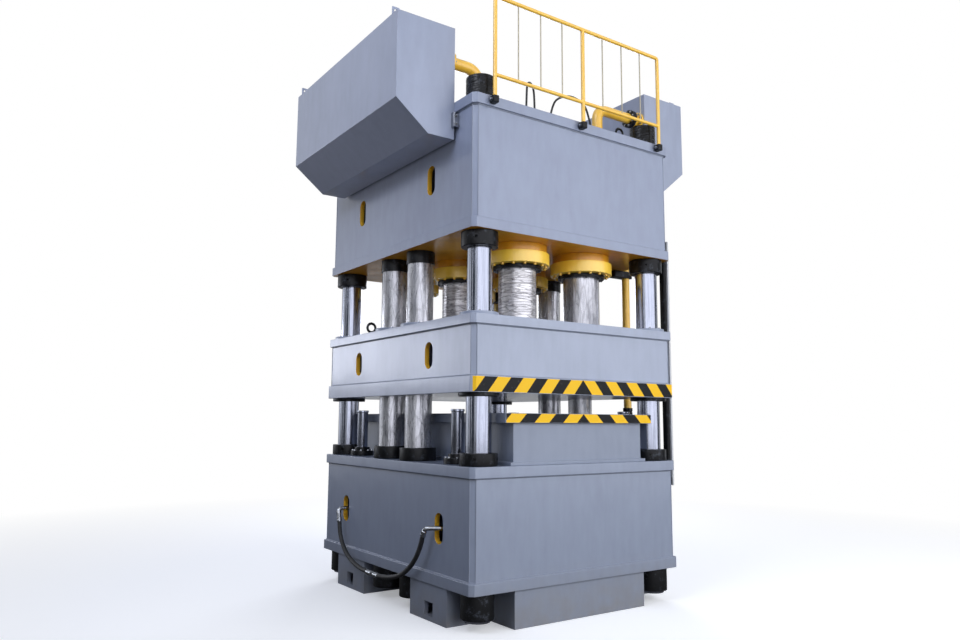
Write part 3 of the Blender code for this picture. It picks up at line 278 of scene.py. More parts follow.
def edge_stripes(name, low, pitch, share, start, lean):
    """Yellow and black paint bands that lean to the middle and meet there in a black triangle:
    a band is where the distance from the middle, plus the leaning height, falls in its part of
    a pitch."""
    material, tree, shader, place = new_finish(name, "#101113", 0.5, Specular_IOR_Level=0.3)
    split = add(tree, "SeparateXYZ", {0: place})
    out = add(tree, "Math", {0: split.outputs[0]}, operation="ABSOLUTE")
    rise = add(tree, "Math", {0: split.outputs[2], 1: low}, operation="SUBTRACT")
    leaning = add(tree, "Math", {0: rise, 1: lean, 2: out}, operation="MULTIPLY_ADD")
    moved = add(tree, "Math", {0: leaning, 1: start}, operation="SUBTRACT")
    turn = add(tree, "Math", {0: moved, 1: pitch}, operation="DIVIDE")
    part = add(tree, "Math", {0: turn}, operation="FRACT")
    band = add(tree, "Math", {0: part, 1: share}, operation="LESS_THAN")
    beyond = add(tree, "Math", {0: moved, 1: 0.0}, operation="GREATER_THAN")
    yellow = add(tree, "Math", {0: band, 1: beyond}, operation="MULTIPLY")
    wear = add(tree, "TexNoise", {"Vector": place, "Scale": per(28), "Detail": 6.0,
                                  "Roughness": 0.7})
    thin = add(tree, "MapRange", {"Value": wear, "From Min": 0.60, "From Max": 0.75,
                                  "To Min": 0.0, "To Max": 0.22})
    bands = add(tree, "Mix", {0: yellow, 6: rgb("#101113"), 7: rgb("#F4C10C")},
                data_type="RGBA")
    tone = add(tree, "Mix", {0: thin, 6: bands.outputs[2], 7: rgb("#8D8C86")},
               data_type="RGBA")
    tree.links.new(tone.outputs[2], shader.inputs["Base Color"])
    peel = add(tree, "TexNoise", {"Vector": place, "Scale": per(9), "Detail": 2.0})
    bump = add(tree, "Bump", {"Height": peel, "Distance": 0.0006, "Strength": 0.5})
    tree.links.new(bump.outputs[0], shader.inputs["Normal"])
    return material


def weld_bead(name, colour):
    """A painted weld bead, with the ripples of its passes across it every 9 mm."""
    material, tree, shader, _ = new_finish(name, colour, 0.38, Coat_Weight=0.15)
    length = add(tree, "TexCoord").outputs["UV"]
    ripple = add(tree, "TexWave", {"Vector": length, "Scale": per(56), "Distortion": 2.0,
                                   "Detail": 2.0}, bands_direction="Y")
    bump = add(tree, "Bump", {"Height": ripple, "Distance": 0.002, "Strength": 0.7})
    tree.links.new(bump.outputs[0], shader.inputs["Normal"])
    return material


def hose_rubber(name):
    """Black hose cover with the print of its cloth wrap across it and rubbed, dusty patches."""
    material, tree, shader, place = new_finish(name, "#191A1C", 0.52)
    length = add(tree, "TexCoord").outputs["UV"]
    wrap = add(tree, "TexWave", {"Vector": length, "Scale": per(40), "Distortion": 0.6},
               bands_direction="DIAGONAL")
    rubs = add(tree, "TexNoise", {"Vector": place, "Scale": per(35), "Detail": 6.0})
    share = add(tree, "MapRange", {"Value": rubs, "From Min": 0.55, "From Max": 0.75,
                                   "To Max": 0.4})
    tone = add(tree, "Mix", {0: share, 6: rgb("#191A1C"), 7: rgb("#47474A")},
               data_type="RGBA")
    tree.links.new(tone.outputs[2], shader.inputs["Base Color"])
    bump = add(tree, "Bump", {"Height": wrap, "Distance": 0.0008, "Strength": 0.5})
    tree.links.new(bump.outputs[0], shader.inputs["Normal"])
    return material


GREY = enamel("blue_grey_enamel", "#8F99AE", "#848DA2", dust=0.75)
# The crown and the bolster get darker copies of the same blue-grey enamel, and the slide and the
# tanks lighter ones: painted shade and painted light.
CROWN_GREY_PAINTED_SHADE = enamel("crown_enamel_painted_shade", "#8D97AE", "#828AA1")
SLIDE_GREY_PAINTED_LIGHT = enamel("slide_enamel_painted_light", "#A0A9BE", "#949DB1")
BOLSTER_GREY_PAINTED_SHADE = enamel("bolster_enamel_painted_shade", "#848EA2", "#7A8396")
TANK_GREY_PAINTED_LIGHT = enamel("tank_enamel_painted_light", "#99A2B9", "#8D96AB")
TABLE_GREY = enamel("table_steel_enamel", "#8C94A4", "#767E90")
YELLOW = enamel("signal_yellow_enamel", "#FBC93A", "#EEB528", shine=1.0)
# The flanges get a paler, brighter copy of the yellow enamel: painted light.
FLANGE_YELLOW_PAINTED_LIGHT = enamel("cylinder_flange_enamel_painted_light", "#FFD647", "#F6C434", shine=1.0)
# A darker, browner copy of the yellow enamel for the crown's underside and the cylinders' steps:
# painted shade.
YELLOW_PAINTED_SHADE = enamel("yellow_enamel_painted_shade", "#D9981C", "#B67B14")
PALE_RODS = enamel("pale_rod_enamel", "#B9B096", "#94917F")
BAR_WHITE = enamel("scale_bar_enamel", "#CFD2D6", "#A6AAB0")
CHROME = hard_chrome("hard_chrome", "#B9BDCA")
ZINC = hard_chrome("zinc_plate", "#A3A6AA", 0.5)
FILM_ROUND = wrapped_steel("film_on_plunger", "#F6F4F5", "#B2B0B4", (0.40, 0.40, 3.2), 0.62,
                           crease=0.62)
FILM_UPRIGHT = wrapped_steel("film_on_column", "#DCDCE0", "#86878C", (1.6, 1.6, 0.30), 0.78,
                             crease=0.30)
BLACK = black_steel("black_enamel")
ROUGH_BLACK = black_steel("cast_black_enamel", "#101113", 0.45, 14, 0.004)
BLACK_WRAP = black_steel("black_film_wrap", "#0B0C0E", 0.20, 40, 0.010)
BOLT_STEEL = black_steel("bolt_steel", "#3A3B3E", 0.40, 12, 0.0006)
SLIDE_STRIPES = edge_stripes("slide_edge_stripes", SLIDE_Z, 0.290, 0.51, 0.120, 0.82)
TABLE_STRIPES = edge_stripes("table_edge_stripes", BOLSTER_TOP, 0.347, 0.50, 0.088, 1.0)
# The beads are drawn a darker tone than the enamel round them: painted shade in the joints.
BEAD_PAINTED_SHADE = weld_bead("weld_bead_painted_shade", "#868EA0")
RUBBER = hose_rubber("hose_rubber")


# Shapes

def grid_faces(rows, columns, closed_rows=False):
    """Quads of a grid of points kept row by row, closed round each row."""
    i = np.arange(rows if closed_rows else rows - 1)[:, None]
    j = np.arange(columns)[None, :]
    on, beside = (i + 1) % rows, (j + 1) % columns
    quads = (i * columns + j, i * columns + beside, on * columns + beside, on * columns + j)
    return np.stack(np.broadcast_arrays(*quads), -1).reshape(-1, 4)


def repeated(points, faces, places):
    """One shape at several places, as one list of points and one of faces."""
    places = np.array([(*place, 0.0)[:3] for place in places])
    steps = np.arange(len(places)) * len(points)
    return ((points[None] + places[:, None]).reshape(-1, 3),
            (faces[None] + steps[:, None, None]).reshape(-1, faces.shape[1]))


def joined(shapes):
    """Several shapes as one list of points and one of faces."""
    starts = np.cumsum([0] + [len(points) for points, _ in shapes[:-1]])
    return (np.concatenate([points for points, _ in shapes]),
            np.concatenate([faces + start for (_, faces), start in zip(shapes, starts)]))


def placed(name, data):
    """A new object in the scene, unturned at the origin."""
    made = bpy.data.objects.new(name, data)
    bpy.context.scene.collection.objects.link(made)
    return made


def mesh_of(name, points, faces, *finishes):
    """A mesh of these points and faces, with a material for each finish."""
    mesh = bpy.data.meshes.new(name)
    mesh.from_pydata(points.tolist(), [], faces.tolist())
    for finish in finishes:
        mesh.materials.append(finish)
    return mesh


def closed_up(mesh):
    """The mesh with its doubles merged and its faces outward."""
    bm = bmesh.new()
    bm.from_mesh(mesh)
    bmesh.ops.remove_doubles(bm, verts=bm.verts, dist=1e-6)
    bmesh.ops.recalc_face_normals(bm, faces=bm.faces)
    bm.to_mesh(mesh)
    bm.free()
    return mesh


def piece(name, points, faces, finish, body="frame", uv=None, replaces=(), angle=38):
    """A closed piece in its place, smooth where faces meet below an angle in degrees."""
    mesh = mesh_of(name, points, faces, finish)
    if uv is not None:
        corner = np.empty(len(mesh.loops), dtype=np.int32)
        mesh.loops.foreach_get("vertex_index", corner)
        layer = mesh.uv_layers.new(name="along")
        layer.data.foreach_set("uv", uv[corner].ravel())
    closed_up(mesh)
    mesh.shade_smooth()
    mesh.set_sharp_from_angle(angle=math.radians(angle))
    made = placed(name, mesh)
    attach(made, body)
    if replaces:
        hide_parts(*replaces)
    return made


def filleted(corners, cut_back, steps=3):
    """A profile whose inner corners turn by a quadratic arc between points cut back on both
    sides by the given length, or by 0.45 of a shorter side."""
    corners = np.asarray(corners, dtype=float)
    before, at, after = corners[:-2], corners[1:-1], corners[2:]
    ends = []
    for side in (before - at, after - at):
        length = np.linalg.norm(side, axis=1, keepdims=True)
        ends.append(at + side / length * np.minimum(cut_back, 0.45 * length))
    t = np.linspace(0, 1, steps + 1)[None, :, None]
    arcs = ((1 - t) ** 2 * ends[0][:, None] + 2 * t * (1 - t) * at[:, None]
            + t ** 2 * ends[1][:, None])
    return np.concatenate([corners[:1], arcs.reshape(-1, corners.shape[1]), corners[-1:]])


def across(axis):
    """Two directions square to an axis and to each other."""
    axis = np.asarray(axis, dtype=float)
    axis = axis / np.linalg.norm(axis)
    aside = np.array((1.0, 0.0, 0.0)) if abs(axis[0]) < 0.9 else np.array((0.0, 1.0, 0.0))
    first = np.cross(axis, aside)
    first /= np.linalg.norm(first)
    return axis, first, np.cross(axis, first)


def turned_shape(corners, axis=(0, 0, 1), edge=0.005, steps=96, closed=False):
    """Profile (r, h) turned by a: axis h + r (first cos a + second sin a)."""
    corners = np.asarray(corners, dtype=float)
    if closed:
        middle = (corners[:1] + corners[-1:]) / 2
        corners = np.concatenate([middle, corners, middle])
    profile = filleted(corners, edge) if edge else corners
    if closed:
        profile = profile[:-1]
    axis, first, second = across(axis)
    a = np.linspace(0, 2 * math.pi, steps, endpoint=False)
    ring = np.cos(a)[:, None] * first + np.sin(a)[:, None] * second
    points = profile[:, :1, None] * ring[None] + profile[:, 1:, None] * axis
    return points.reshape(-1, 3), grid_faces(len(profile), steps, closed)


def turned(name, corners, places, finish, body="frame", replaces=(), **form):
    """A turned shape at each of its places, as one piece."""
    shape = turned_shape(corners, **form)
    return piece(name, *repeated(*shape, places), finish, body, replaces=replaces)


def solid_bar(radius, z_low, z_high):
    """The corners of a solid bar's section, from axis to axis."""
    return [(0, z_low), (radius, z_low), (radius, z_high), (0, z_high)]


def bored_ring(outer, bore, z_low, z_high):
    """The corners of a ring's section."""
    return [(outer, z_low), (outer, z_high), (bore, z_high), (bore, z_low)]


def tube(name, path, radius, finish, body="frame", side=(0, 1, 0), steps=24, loop=False,
         replaces=()):
    """A round section carried along a path: centre + r (n1 cos a + n2 sin a), where n1 is
    square to the path and to the side direction, with the length along it kept as V."""
    path = np.asarray(path, dtype=float)
    if loop:
        ahead = np.roll(path, -1, 0) - np.roll(path, 1, 0)
    else:
        ahead = np.gradient(path, axis=0)
    ahead /= np.linalg.norm(ahead, axis=1, keepdims=True)
    n1 = np.cross(ahead, side)
    n1 /= np.linalg.norm(n1, axis=1, keepdims=True)
    n2 = np.cross(ahead, n1)
    a = np.linspace(0, 2 * math.pi, steps, endpoint=False)
    radius = np.broadcast_to(radius, len(path))[:, None, None]
    rows = path[:, None] + radius * (np.cos(a)[None, :, None] * n1[:, None]
                                     + np.sin(a)[None, :, None] * n2[:, None])
    length = np.concatenate([[0], np.linalg.norm(np.diff(path, axis=0), axis=1).cumsum()])
    if not loop:
        rows = np.concatenate([np.repeat(path[:1, None], steps, 1), rows,
                               np.repeat(path[-1:, None], steps, 1)])
        length = np.concatenate([length[:1], length, length[-1:]])
    uv = np.stack(np.broadcast_arrays(a[None, :] / (2 * math.pi), length[:, None]), -1)
    return piece(name, rows.reshape(-1, 3), grid_faces(len(rows), steps, loop), finish, body,
                 uv.reshape(-1, 2), replaces)


def smooth_path(points, count):
    """Points of a Catmull-Rom curve: in each span, cubic weights of its four nearest points."""
    points = np.asarray(points, dtype=float)
    ends = np.concatenate([2 * points[:1] - points[1:2], points,
                           2 * points[-1:] - points[-2:-1]])
    place = np.linspace(0, len(points) - 1, count)
    span = np.minimum(place.astype(int), len(points) - 2)
    t = (place - span)[:, None]
    a, b, c, d = (ends[span + k] for k in range(4))
    return 0.5 * (2 * b + (c - a) * t + (2 * a - 5 * b + 4 * c - d) * t ** 2
                  + (3 * b - a - 3 * c + d) * t ** 3)


def bent_path(corners, radius, steps=10):
    """A bent pipe's line: straight runs with the given bend cut back at each corner."""
    return filleted(corners, radius, steps)


def slab(name, low, high, finish, corner):
    """A small block: a rectangle with round corners, drawn in by the edge rounding at its top
    and bottom, as rows of the same outline at each height."""
    edge = 0.004
    low, high = np.asarray(low, dtype=float), np.asarray(high, dtype=float)
    middle, half = (low + high) / 2, (high - low) / 2
    a = np.linspace(0, math.pi / 2, 5)
    turn = np.concatenate([a + k * math.pi / 2 for k in range(4)])
    quarter = np.repeat([(1, 1), (-1, 1), (-1, -1), (1, -1)], len(a), axis=0)
    t = np.linspace(0, math.pi / 2, 4)
    inset = np.concatenate([[1.0], edge * (1 - np.sin(t)), edge * (1 - np.sin(t[::-1])), [1.0]])
    height = np.concatenate([[0.0], edge * (1 - np.cos(t)),
                             2 * half[2] - edge * (1 - np.cos(t[::-1])), [2 * half[2]]])
    rows = []
    for cut, rise in zip(inset, height):
        size = np.maximum(half[:2] - cut, 0.0)
        bend = min(max(corner - cut, 0.0), *size)
        plan = quarter * (size - bend) + bend * np.stack([np.cos(turn), np.sin(turn)], 1)
        rows.append(np.column_stack([middle[:2] + plan, np.full(len(turn), low[2] + rise)]))
    return piece(name, np.concatenate(rows), grid_faces(len(rows), len(turn)), finish)


def rings_of(centres, radius, count, z, start=0.0):
    """Places evenly spaced round each centre, from a first angle, at one height."""
    a = start + 2 * math.pi * np.arange(count) / count
    circle = radius * np.column_stack([np.cos(a), np.sin(a)])
    plan = (np.asarray(centres)[:, None] + circle).reshape(-1, 2)
    return np.column_stack([plan, np.full(len(plan), z)])


def bolts(name, places, size, finish, body="frame", axis=(0, 0, 1), steps=6):
    """Bolt heads on their washers, as high as 0.65 of their width, standing along an axis."""
    seat, chamfer, top = 0.12 * size, 0.70 * size, 0.77 * size
    washer = turned_shape(solid_bar(0.75 * size, 0, seat), axis, 0, 12)
    head = turned_shape([(0, seat), (0.55 * size, seat), (0.55 * size, chamfer),
                         (0.45 * size, top), (0, top)], axis, 0, steps)
    return piece(name, *repeated(*joined([washer, head]), places), finish, body, angle=25)


def film_shape(radius, z_low, z_high, fold, seed, rows, steps, turns, waves):
    """Film wound on a bar: r = radius + fold h, where h sums seven sharp crests
    (1 - |sin(k z + m a + wander)|) cubed, k waves along the bar and m whole turns round it,
    and a slow swell, and is then scaled to run from 0 to 1."""
    rng = np.random.default_rng(seed)
    z = np.linspace(z_low, z_high, rows)[:, None]
    a = np.linspace(0, 2 * math.pi, steps, endpoint=False)[None, :]
    wander = sum(rng.uniform(0.3, 0.9) * np.sin(m * a + rng.uniform(2, 9) * z
                                                + rng.uniform(0, 6.3)) for m in (1, 2, 3))
    h = np.zeros((rows, steps))
    for _ in range(7):
        m = rng.integers(turns[0], turns[1] + 1) * rng.choice((-1, 1))
        k = rng.uniform(*waves) * rng.choice((-1, 1))
        crest = 1 - np.abs(np.sin(k * z + m * a + wander + rng.uniform(0, 6.3)))
        h += rng.uniform(0.5, 1.0) * crest ** 3
    h += 0.5 * np.sin(2 * a + 3 * z + rng.uniform(0, 6.3)) + 0.5
    h = (h - h.min()) / (h.max() - h.min())
    r = radius + fold * h
    points = np.stack(np.broadcast_arrays(r * np.cos(a), r * np.sin(a), z), -1)
    ends = [np.broadcast_to((0.0, 0.0, height), (1, steps, 3)) for height in (z_low, z_high)]
    points = np.concatenate([ends[0], points, ends[1]])
    return points.reshape(-1, 3), grid_faces(rows + 2, steps)


def film(name, places, z_low, z_high, finish, body="frame", replaces=(), **form):
    """A film wound on the bar at each place, each with its own creases."""
    shapes = []
    for i, (x, y) in enumerate(places):
        points, faces = film_shape(z_low=z_low, z_high=z_high, seed=100 * i + len(name), **form)
        shapes.append((points + np.array((x, y, 0.0)), faces))
    return piece(name, *joined(shapes), finish, body, replaces=replaces, angle=80)


def level_normals(mesh):
    """The normal at each face corner is the mean of the normals of the faces that meet there
    within 60 degrees of its own face, weighted by their areas, so that wide faces stay flat and
    rounded edges blend into them. Corners are sorted by point, and neighbours compared in turn."""
    count = len(mesh.polygons)
    area, normal = np.empty(count), np.empty(count * 3)
    corners, points = np.empty(count, np.int32), np.empty(len(mesh.loops), np.int32)
    mesh.polygons.foreach_get("area", area)
    mesh.polygons.foreach_get("normal", normal)
    mesh.polygons.foreach_get("loop_total", corners)
    mesh.loops.foreach_get("vertex_index", points)
    order = np.argsort(points, kind="stable")
    at = points[order]
    own = np.repeat(normal.reshape(-1, 3), corners, axis=0)[order]
    heavy = own * np.repeat(area, corners)[order][:, None]
    total = heavy.copy()
    for step in range(1, 40):
        near = (at[step:] == at[:-step]) & ((own[step:] * own[:-step]).sum(1) > 0.5)
        total[:-step] += heavy[step:] * near[:, None]
        total[step:] += heavy[:-step] * near[:, None]
    total /= np.linalg.norm(total, axis=1, keepdims=True)
    at_corner = np.empty_like(total)
    at_corner[order] = total
    mesh.normals_split_custom_set(at_corner.tolist())


def mark_edges(bm, shell):
    """Weights for the bevel: every sharp edge, apart from the short ones round bores and slots,
    whose ends join just two sharp edges. On a shell, only the edges near its outline count."""
    near_outline, short, sharp_angle = 0.030, 0.19, math.radians(28)
    weight = bm.edges.layers.float.new("bevel_weight_edge")
    bm.normal_update()
    plan = np.array([point.co[:2] for point in bm.verts])
    rim = (np.minimum(plan - plan.min(0), plan.max(0) - plan) < near_outline).any(1)
    sharp = {edge for edge in bm.edges
             if edge.is_manifold and edge.calc_face_angle(0) > sharp_angle}
    for edge in sharp:
        ends = [sum(other in sharp for other in point.link_edges) for point in edge.verts]
        outer = not shell or all(rim[point.index] for point in edge.verts)
        edge[weight] = float(outer and (max(ends) > 2 or edge.calc_length() > short))


def dressed(node, finishes, choose=None, edge=0.004, body="frame", shell=False):
    """The solid's own shape with its flat faces made whole, its edges rounded, and a finish for
    each face, chosen from the middles and the normals of all faces at once."""
    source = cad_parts[node]
    bm = bmesh.new()
    bm.from_mesh(source.data)
    bm.transform(source.matrix_world)
    bmesh.ops.remove_doubles(bm, verts=bm.verts, dist=2e-5)
    bmesh.ops.dissolve_limit(bm, angle_limit=math.radians(0.4), verts=bm.verts, edges=bm.edges)
    bm.verts.index_update()
    mark_edges(bm, shell)
    mesh = bpy.data.meshes.new(node + "_dressed")
    bm.to_mesh(mesh)
    bm.free()
    for finish in finishes:
        mesh.materials.append(finish)
    if choose:
        count = len(mesh.polygons)
        middles, normals = np.empty(count * 3), np.empty(count * 3)
        mesh.polygons.foreach_get("center", middles)
        mesh.polygons.foreach_get("normal", normals)
        chosen = choose(middles.reshape(-1, 3), normals.reshape(-1, 3))
        mesh.polygons.foreach_set("material_index", chosen.astype(np.int32))
    mesh.shade_smooth()
    made = placed(node + "_dressed", mesh)
    if edge:
        soft = made.modifiers.new("edges", "BEVEL")
        soft.width = edge
        soft.segments = 2
        soft.limit_method = "WEIGHT"
        soft.use_clamp_overlap = False
    bpy.context.view_layer.update()
    seen = made.evaluated_get(bpy.context.evaluated_depsgraph_get())
    made.data = bpy.data.meshes.new_from_object(seen)
    made.modifiers.clear()
    level_normals(made.data)
    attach(made, body)
    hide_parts(node)
    return made


# Weldments: enamel, body, bottom and top, and the thickness of the bottom and top plates
WELDMENTS = (
    ("crown", CROWN_GREY_PAINTED_SHADE, "frame", (CROWN_Z, CROWN_TOP), (0.098, 0.102)),
    ("slide", SLIDE_GREY_PAINTED_LIGHT, "slide", (SLIDE_Z, SLIDE_TOP), (SLIDE_PLATE, 0.090)),
    ("bed", GREY, "frame", (BED_Z, BED_TOP), (0.102, 0.099)),
)
# Lifting eyes and hose bosses on the top plates, and how far from their middles they reach
TOP_FITTINGS = {
    "crown": [(0.68, -1.42), (-0.68, 1.42), *HAIRPIN_BOSSES, *ARCH_BOSSES],
    "slide": [(-1.20, 0.62), (1.20, 0.62)],
    "bed": [],
}
FITTING_REACH = 0.090
CLOSE = 0.002


def slot_walls(name, middles, normals):
    """True for the faces inside the thickness of the side slots."""
    slot_y, z, height = SLOTS[name]
    return ((np.abs(middles[:, 0]) > WALL_X - WALL - CLOSE)
            & (np.abs(middles[:, 0]) < WALL_X + CLOSE)
            & (np.abs(np.abs(middles[:, 1]) - slot_y) < SLOT_WIDTH / 2 + CLOSE)
            & (np.abs(middles[:, 2] - z) < height / 2 + CLOSE)
            & (np.abs(normals[:, 0]) < 0.5))


def part_of_weldment(name, z_low, z_high):
    """Grey (0), with the yellow enamel darkened as painted shade (1) under the crown, black (2)
    eyes and bosses on the top plate, and yellow (3) inside the side slots."""
    def choose(middles, normals):
        # The crown's underside is given painted shade.
        under = (normals[:, 2] < -0.9) & (np.abs(middles[:, 2] - z_low) < CLOSE)
        tone = np.where(slot_walls(name, middles, normals), 3, under & (name == "crown"))
        at_fitting = np.zeros(len(middles), dtype=bool)
        for x, y in TOP_FITTINGS[name]:
            at_fitting |= np.hypot(middles[:, 0] - x, middles[:, 1] - y) < FITTING_REACH
        return np.where(at_fitting & (middles[:, 2] > z_high + 2 * CLOSE), 2, tone)
    return choose


for node, grey, body, levels, _ in WELDMENTS:
    dressed(node, [grey, YELLOW_PAINTED_SHADE, BLACK, YELLOW], part_of_weldment(node, *levels), 0.005,
                    body, shell=True)
dressed("pedestal", [GREY], edge=0)
dressed("bolster_body", [BOLSTER_GREY_PAINTED_SHADE])
dressed("bolster_plate", [TABLE_GREY], edge=0.003)
for side in ("left", "right"):
    dressed("oil_tank_" + side, [TANK_GREY_PAINTED_LIGHT], edge=0.003)


def wall_outline(z):
    """Points along the chamfered outline of a weldment's walls at one height."""
    step = 0.05
    signs = np.array([(1, 1), (-1, 1), (-1, -1), (1, -1)])
    cuts = np.array([[(0, -1), (-1, 0)], [(1, 0), (0, -1)], [(0, 1), (1, 0)], [(-1, 0), (0, 1)]])
    corners = (signs * (WALL_X, WALL_Y))[:, None] + cuts * CHAMFER
    corners = corners.reshape(-1, 2)
    ahead = np.roll(corners, -1, 0)
    runs = [np.linspace(a, b, max(2, int(np.linalg.norm(b - a) / step)), endpoint=False)
            for a, b in zip(corners, ahead)]
    plan = np.concatenate(runs)
    return np.column_stack([plan, np.full(len(plan), z)])


# Beads along the plates, sunk a little into their corners, and seams down the chamfers
BEAD_R, BEAD_SHIFT, SEAM_R = 0.008, 0.003, 0.0045
SEAMS = [(sx * x, sy * y) for sx in (-1, 1) for sy in (-1, 1)
         for x, y in ((WALL_X, WALL_Y - CHAMFER), (WALL_X - CHAMFER, WALL_Y))]
for node, _, body, (bottom, top), (bottom_plate, top_plate) in WELDMENTS:
    low, high = bottom + bottom_plate, top - top_plate
    for place, z in (("low", low + BEAD_SHIFT), ("top", high - BEAD_SHIFT)):
        tube(f"{node}_bead_{place}", wall_outline(z), BEAD_R, BEAD_PAINTED_SHADE, body, side=(0, 0, 1),
             steps=8, loop=True)
    seam = turned_shape(solid_bar(SEAM_R, low, high), edge=0, steps=8)
    piece(node + "_corner_seams", *repeated(*seam, SEAMS), BEAD_PAINTED_SHADE, body)

# Corner columns with their collars, nuts and wiper rings
AT_CORNERS, AT_MIDDLES, AT_LEVELS = (corners_of(*at) for at in (COLUMN, MID_COLUMN, LEVEL))
CORNER_BORE = COLUMN_R + 0.0006
COLLAR_R, UPPER_COLLAR, LOWER_COLLAR = 0.175, 0.145, 0.115
HOLE_R, HOLE_DEPTH, LOWER_HOLE = 0.014, 0.03, 0.063
NUT_R, WIPER_R = 0.150, 0.1885
turned("corner_columns", solid_bar(COLUMN_R, COLUMN_FOOT, COLUMN_TOP), AT_CORNERS, CHROME,
               edge=0.007, replaces=nodes_at("column"))


def drilled(collars, z):
    """The corner collars with four blind tommy-bar holes cut into the side of each."""
    holes = []
    for k in range(4):
        angle = math.pi / 4 + k * math.pi / 2
        points, faces = turned_shape(solid_bar(HOLE_R, COLLAR_R - HOLE_DEPTH, COLLAR_R + 0.02),
                                     (math.cos(angle), math.sin(angle), 0.0), 0, 20)
        holes.append(repeated(points + np.array((0.0, 0.0, z)), faces, AT_CORNERS))
    pegs = placed("pegs", closed_up(mesh_of("pegs", *joined(holes))))
    cut = collars.modifiers.new("holes", "BOOLEAN")
    cut.operation, cut.solver, cut.object = "DIFFERENCE", "EXACT", pegs
    bpy.context.view_layer.update()
    seen = collars.evaluated_get(bpy.context.evaluated_depsgraph_get())
    holed = bpy.data.meshes.new_from_object(seen)
    collars.modifiers.clear()
    collars.data = holed
    bpy.data.objects.remove(pegs)
    holed.set_sharp_from_angle(angle=math.radians(38))
    return collars


for level, z_low, z_high, hole_z in (
    ("upper", CROWN_Z - UPPER_COLLAR, CROWN_Z - SEAT, CROWN_Z - UPPER_COLLAR / 2),
    ("lower", BED_TOP + SEAT, BED_TOP + LOWER_COLLAR, BED_TOP + LOWER_HOLE),
):
    collars = turned(level + "_collars", bored_ring(COLLAR_R, CORNER_BORE, z_low, z_high),
                     AT_CORNERS, BLACK, edge=0.008, closed=True,
                     replaces=nodes_at(level + "_collar"))
    drilled(collars, hole_z)
turned("foot_nuts", bored_ring(NUT_R, CORNER_BORE, FOOT_NUT_Z, BED_Z - SEAT), AT_CORNERS,
       ROUGH_BLACK, edge=0.008, closed=True)
film("crown_nut_wraps", AT_CORNERS, CROWN_TOP + SEAT, CROWN_TOP + 0.2265, BLACK_WRAP,
     radius=0.1365, fold=0.0085, rows=50, steps=128, turns=(0, 3), waves=(60, 150))
turned("wiper_rings", bored_ring(WIPER_R, COLUMN_R + 0.001, SLIDE_Z - 0.034,
                                         SLIDE_Z - SEAT),
               AT_CORNERS, BLACK, "slide", nodes_at("wiper_ring"), edge=0.006, closed=True)

# Middle columns in film, with black collars and end nuts
UPRIGHT = dict(turns=(9, 26), waves=(0.5, 3.0))
film("mid_column_film", AT_MIDDLES, 0.10, CROWN_TOP + 0.175, FILM_UPRIGHT,
             replaces=nodes_at("mid_column"), radius=0.1363, fold=0.0020, rows=90, steps=128,
             **UPRIGHT)
for name, outer, bore, z_low, z_high, finish, edge in (
    ("mid_upper_collars", 0.148, 0.137, CROWN_Z - 0.130, CROWN_Z - SEAT, BLACK, 0.004),
    ("mid_lower_collars", 0.185, 0.137, BED_TOP + SEAT, BED_TOP + 0.130, BLACK, 0.010),
    ("mid_head_nuts", 0.160, 0.130, CROWN_TOP + SEAT, CROWN_TOP + 0.150, ROUGH_BLACK, 0.006),
    ("mid_foot_nuts", 0.160, 0.130, FOOT_NUT_Z, BED_Z - SEAT, ROUGH_BLACK, 0.006),
):
    turned(name, bored_ring(outer, bore, z_low, z_high), AT_MIDDLES, finish, edge=edge,
           closed=True)

# Guide bushes on the slide
BUSH_TOP = SLIDE_TOP + 0.0286
for name, outer, bore, places in (
    ("corner_bush_flanges", 0.1815, COLUMN_R + 0.0008, AT_CORNERS),
    ("mid_bush_flanges", 0.2000, 0.1412, AT_MIDDLES),
):
    turned(name, bored_ring(outer, bore, SLIDE_TOP - 0.004, BUSH_TOP), places, GREY, "slide",
           edge=0.005, closed=True)
bolts("bush_flange_bolts", np.concatenate([rings_of(AT_CORNERS, 0.152, 8, BUSH_TOP, 0.2),
                                           rings_of(AT_MIDDLES, 0.171, 8, BUSH_TOP, 0.2)]),
      0.018, ZINC, "slide")

# Main cylinders: stepped yellow flange, black gland, and plungers in film on bolted feet
CYLINDERS = [(x, y) for y in (-CYLINDER_PITCH, 0.0, CYLINDER_PITCH)
             for x in (-CYLINDER_X, CYLINDER_X)]
CYLINDER_NAMES = [row + "_" + side for row in ("front", "middle", "rear")
                  for side in ("left", "right")]
STEP_Z, FLANGE_Z = CROWN_Z - 0.080, CROWN_Z - 0.200
FLANGE_R, STEP_R, FLANGE_BORE = 0.325, 0.300, 0.205
BARREL_R, GLAND_R, GLAND_BORE = 0.269, 0.245, 0.198
FOOT_R, FOOT_TOP = 0.240, SLIDE_TOP + 0.035
turned("cylinder_flanges", bored_ring(FLANGE_R, FLANGE_BORE, FLANGE_Z, STEP_Z),
               CYLINDERS, FLANGE_YELLOW_PAINTED_LIGHT, edge=0.005, closed=True,
               replaces=["main_cylinder_" + name for name in CYLINDER_NAMES])
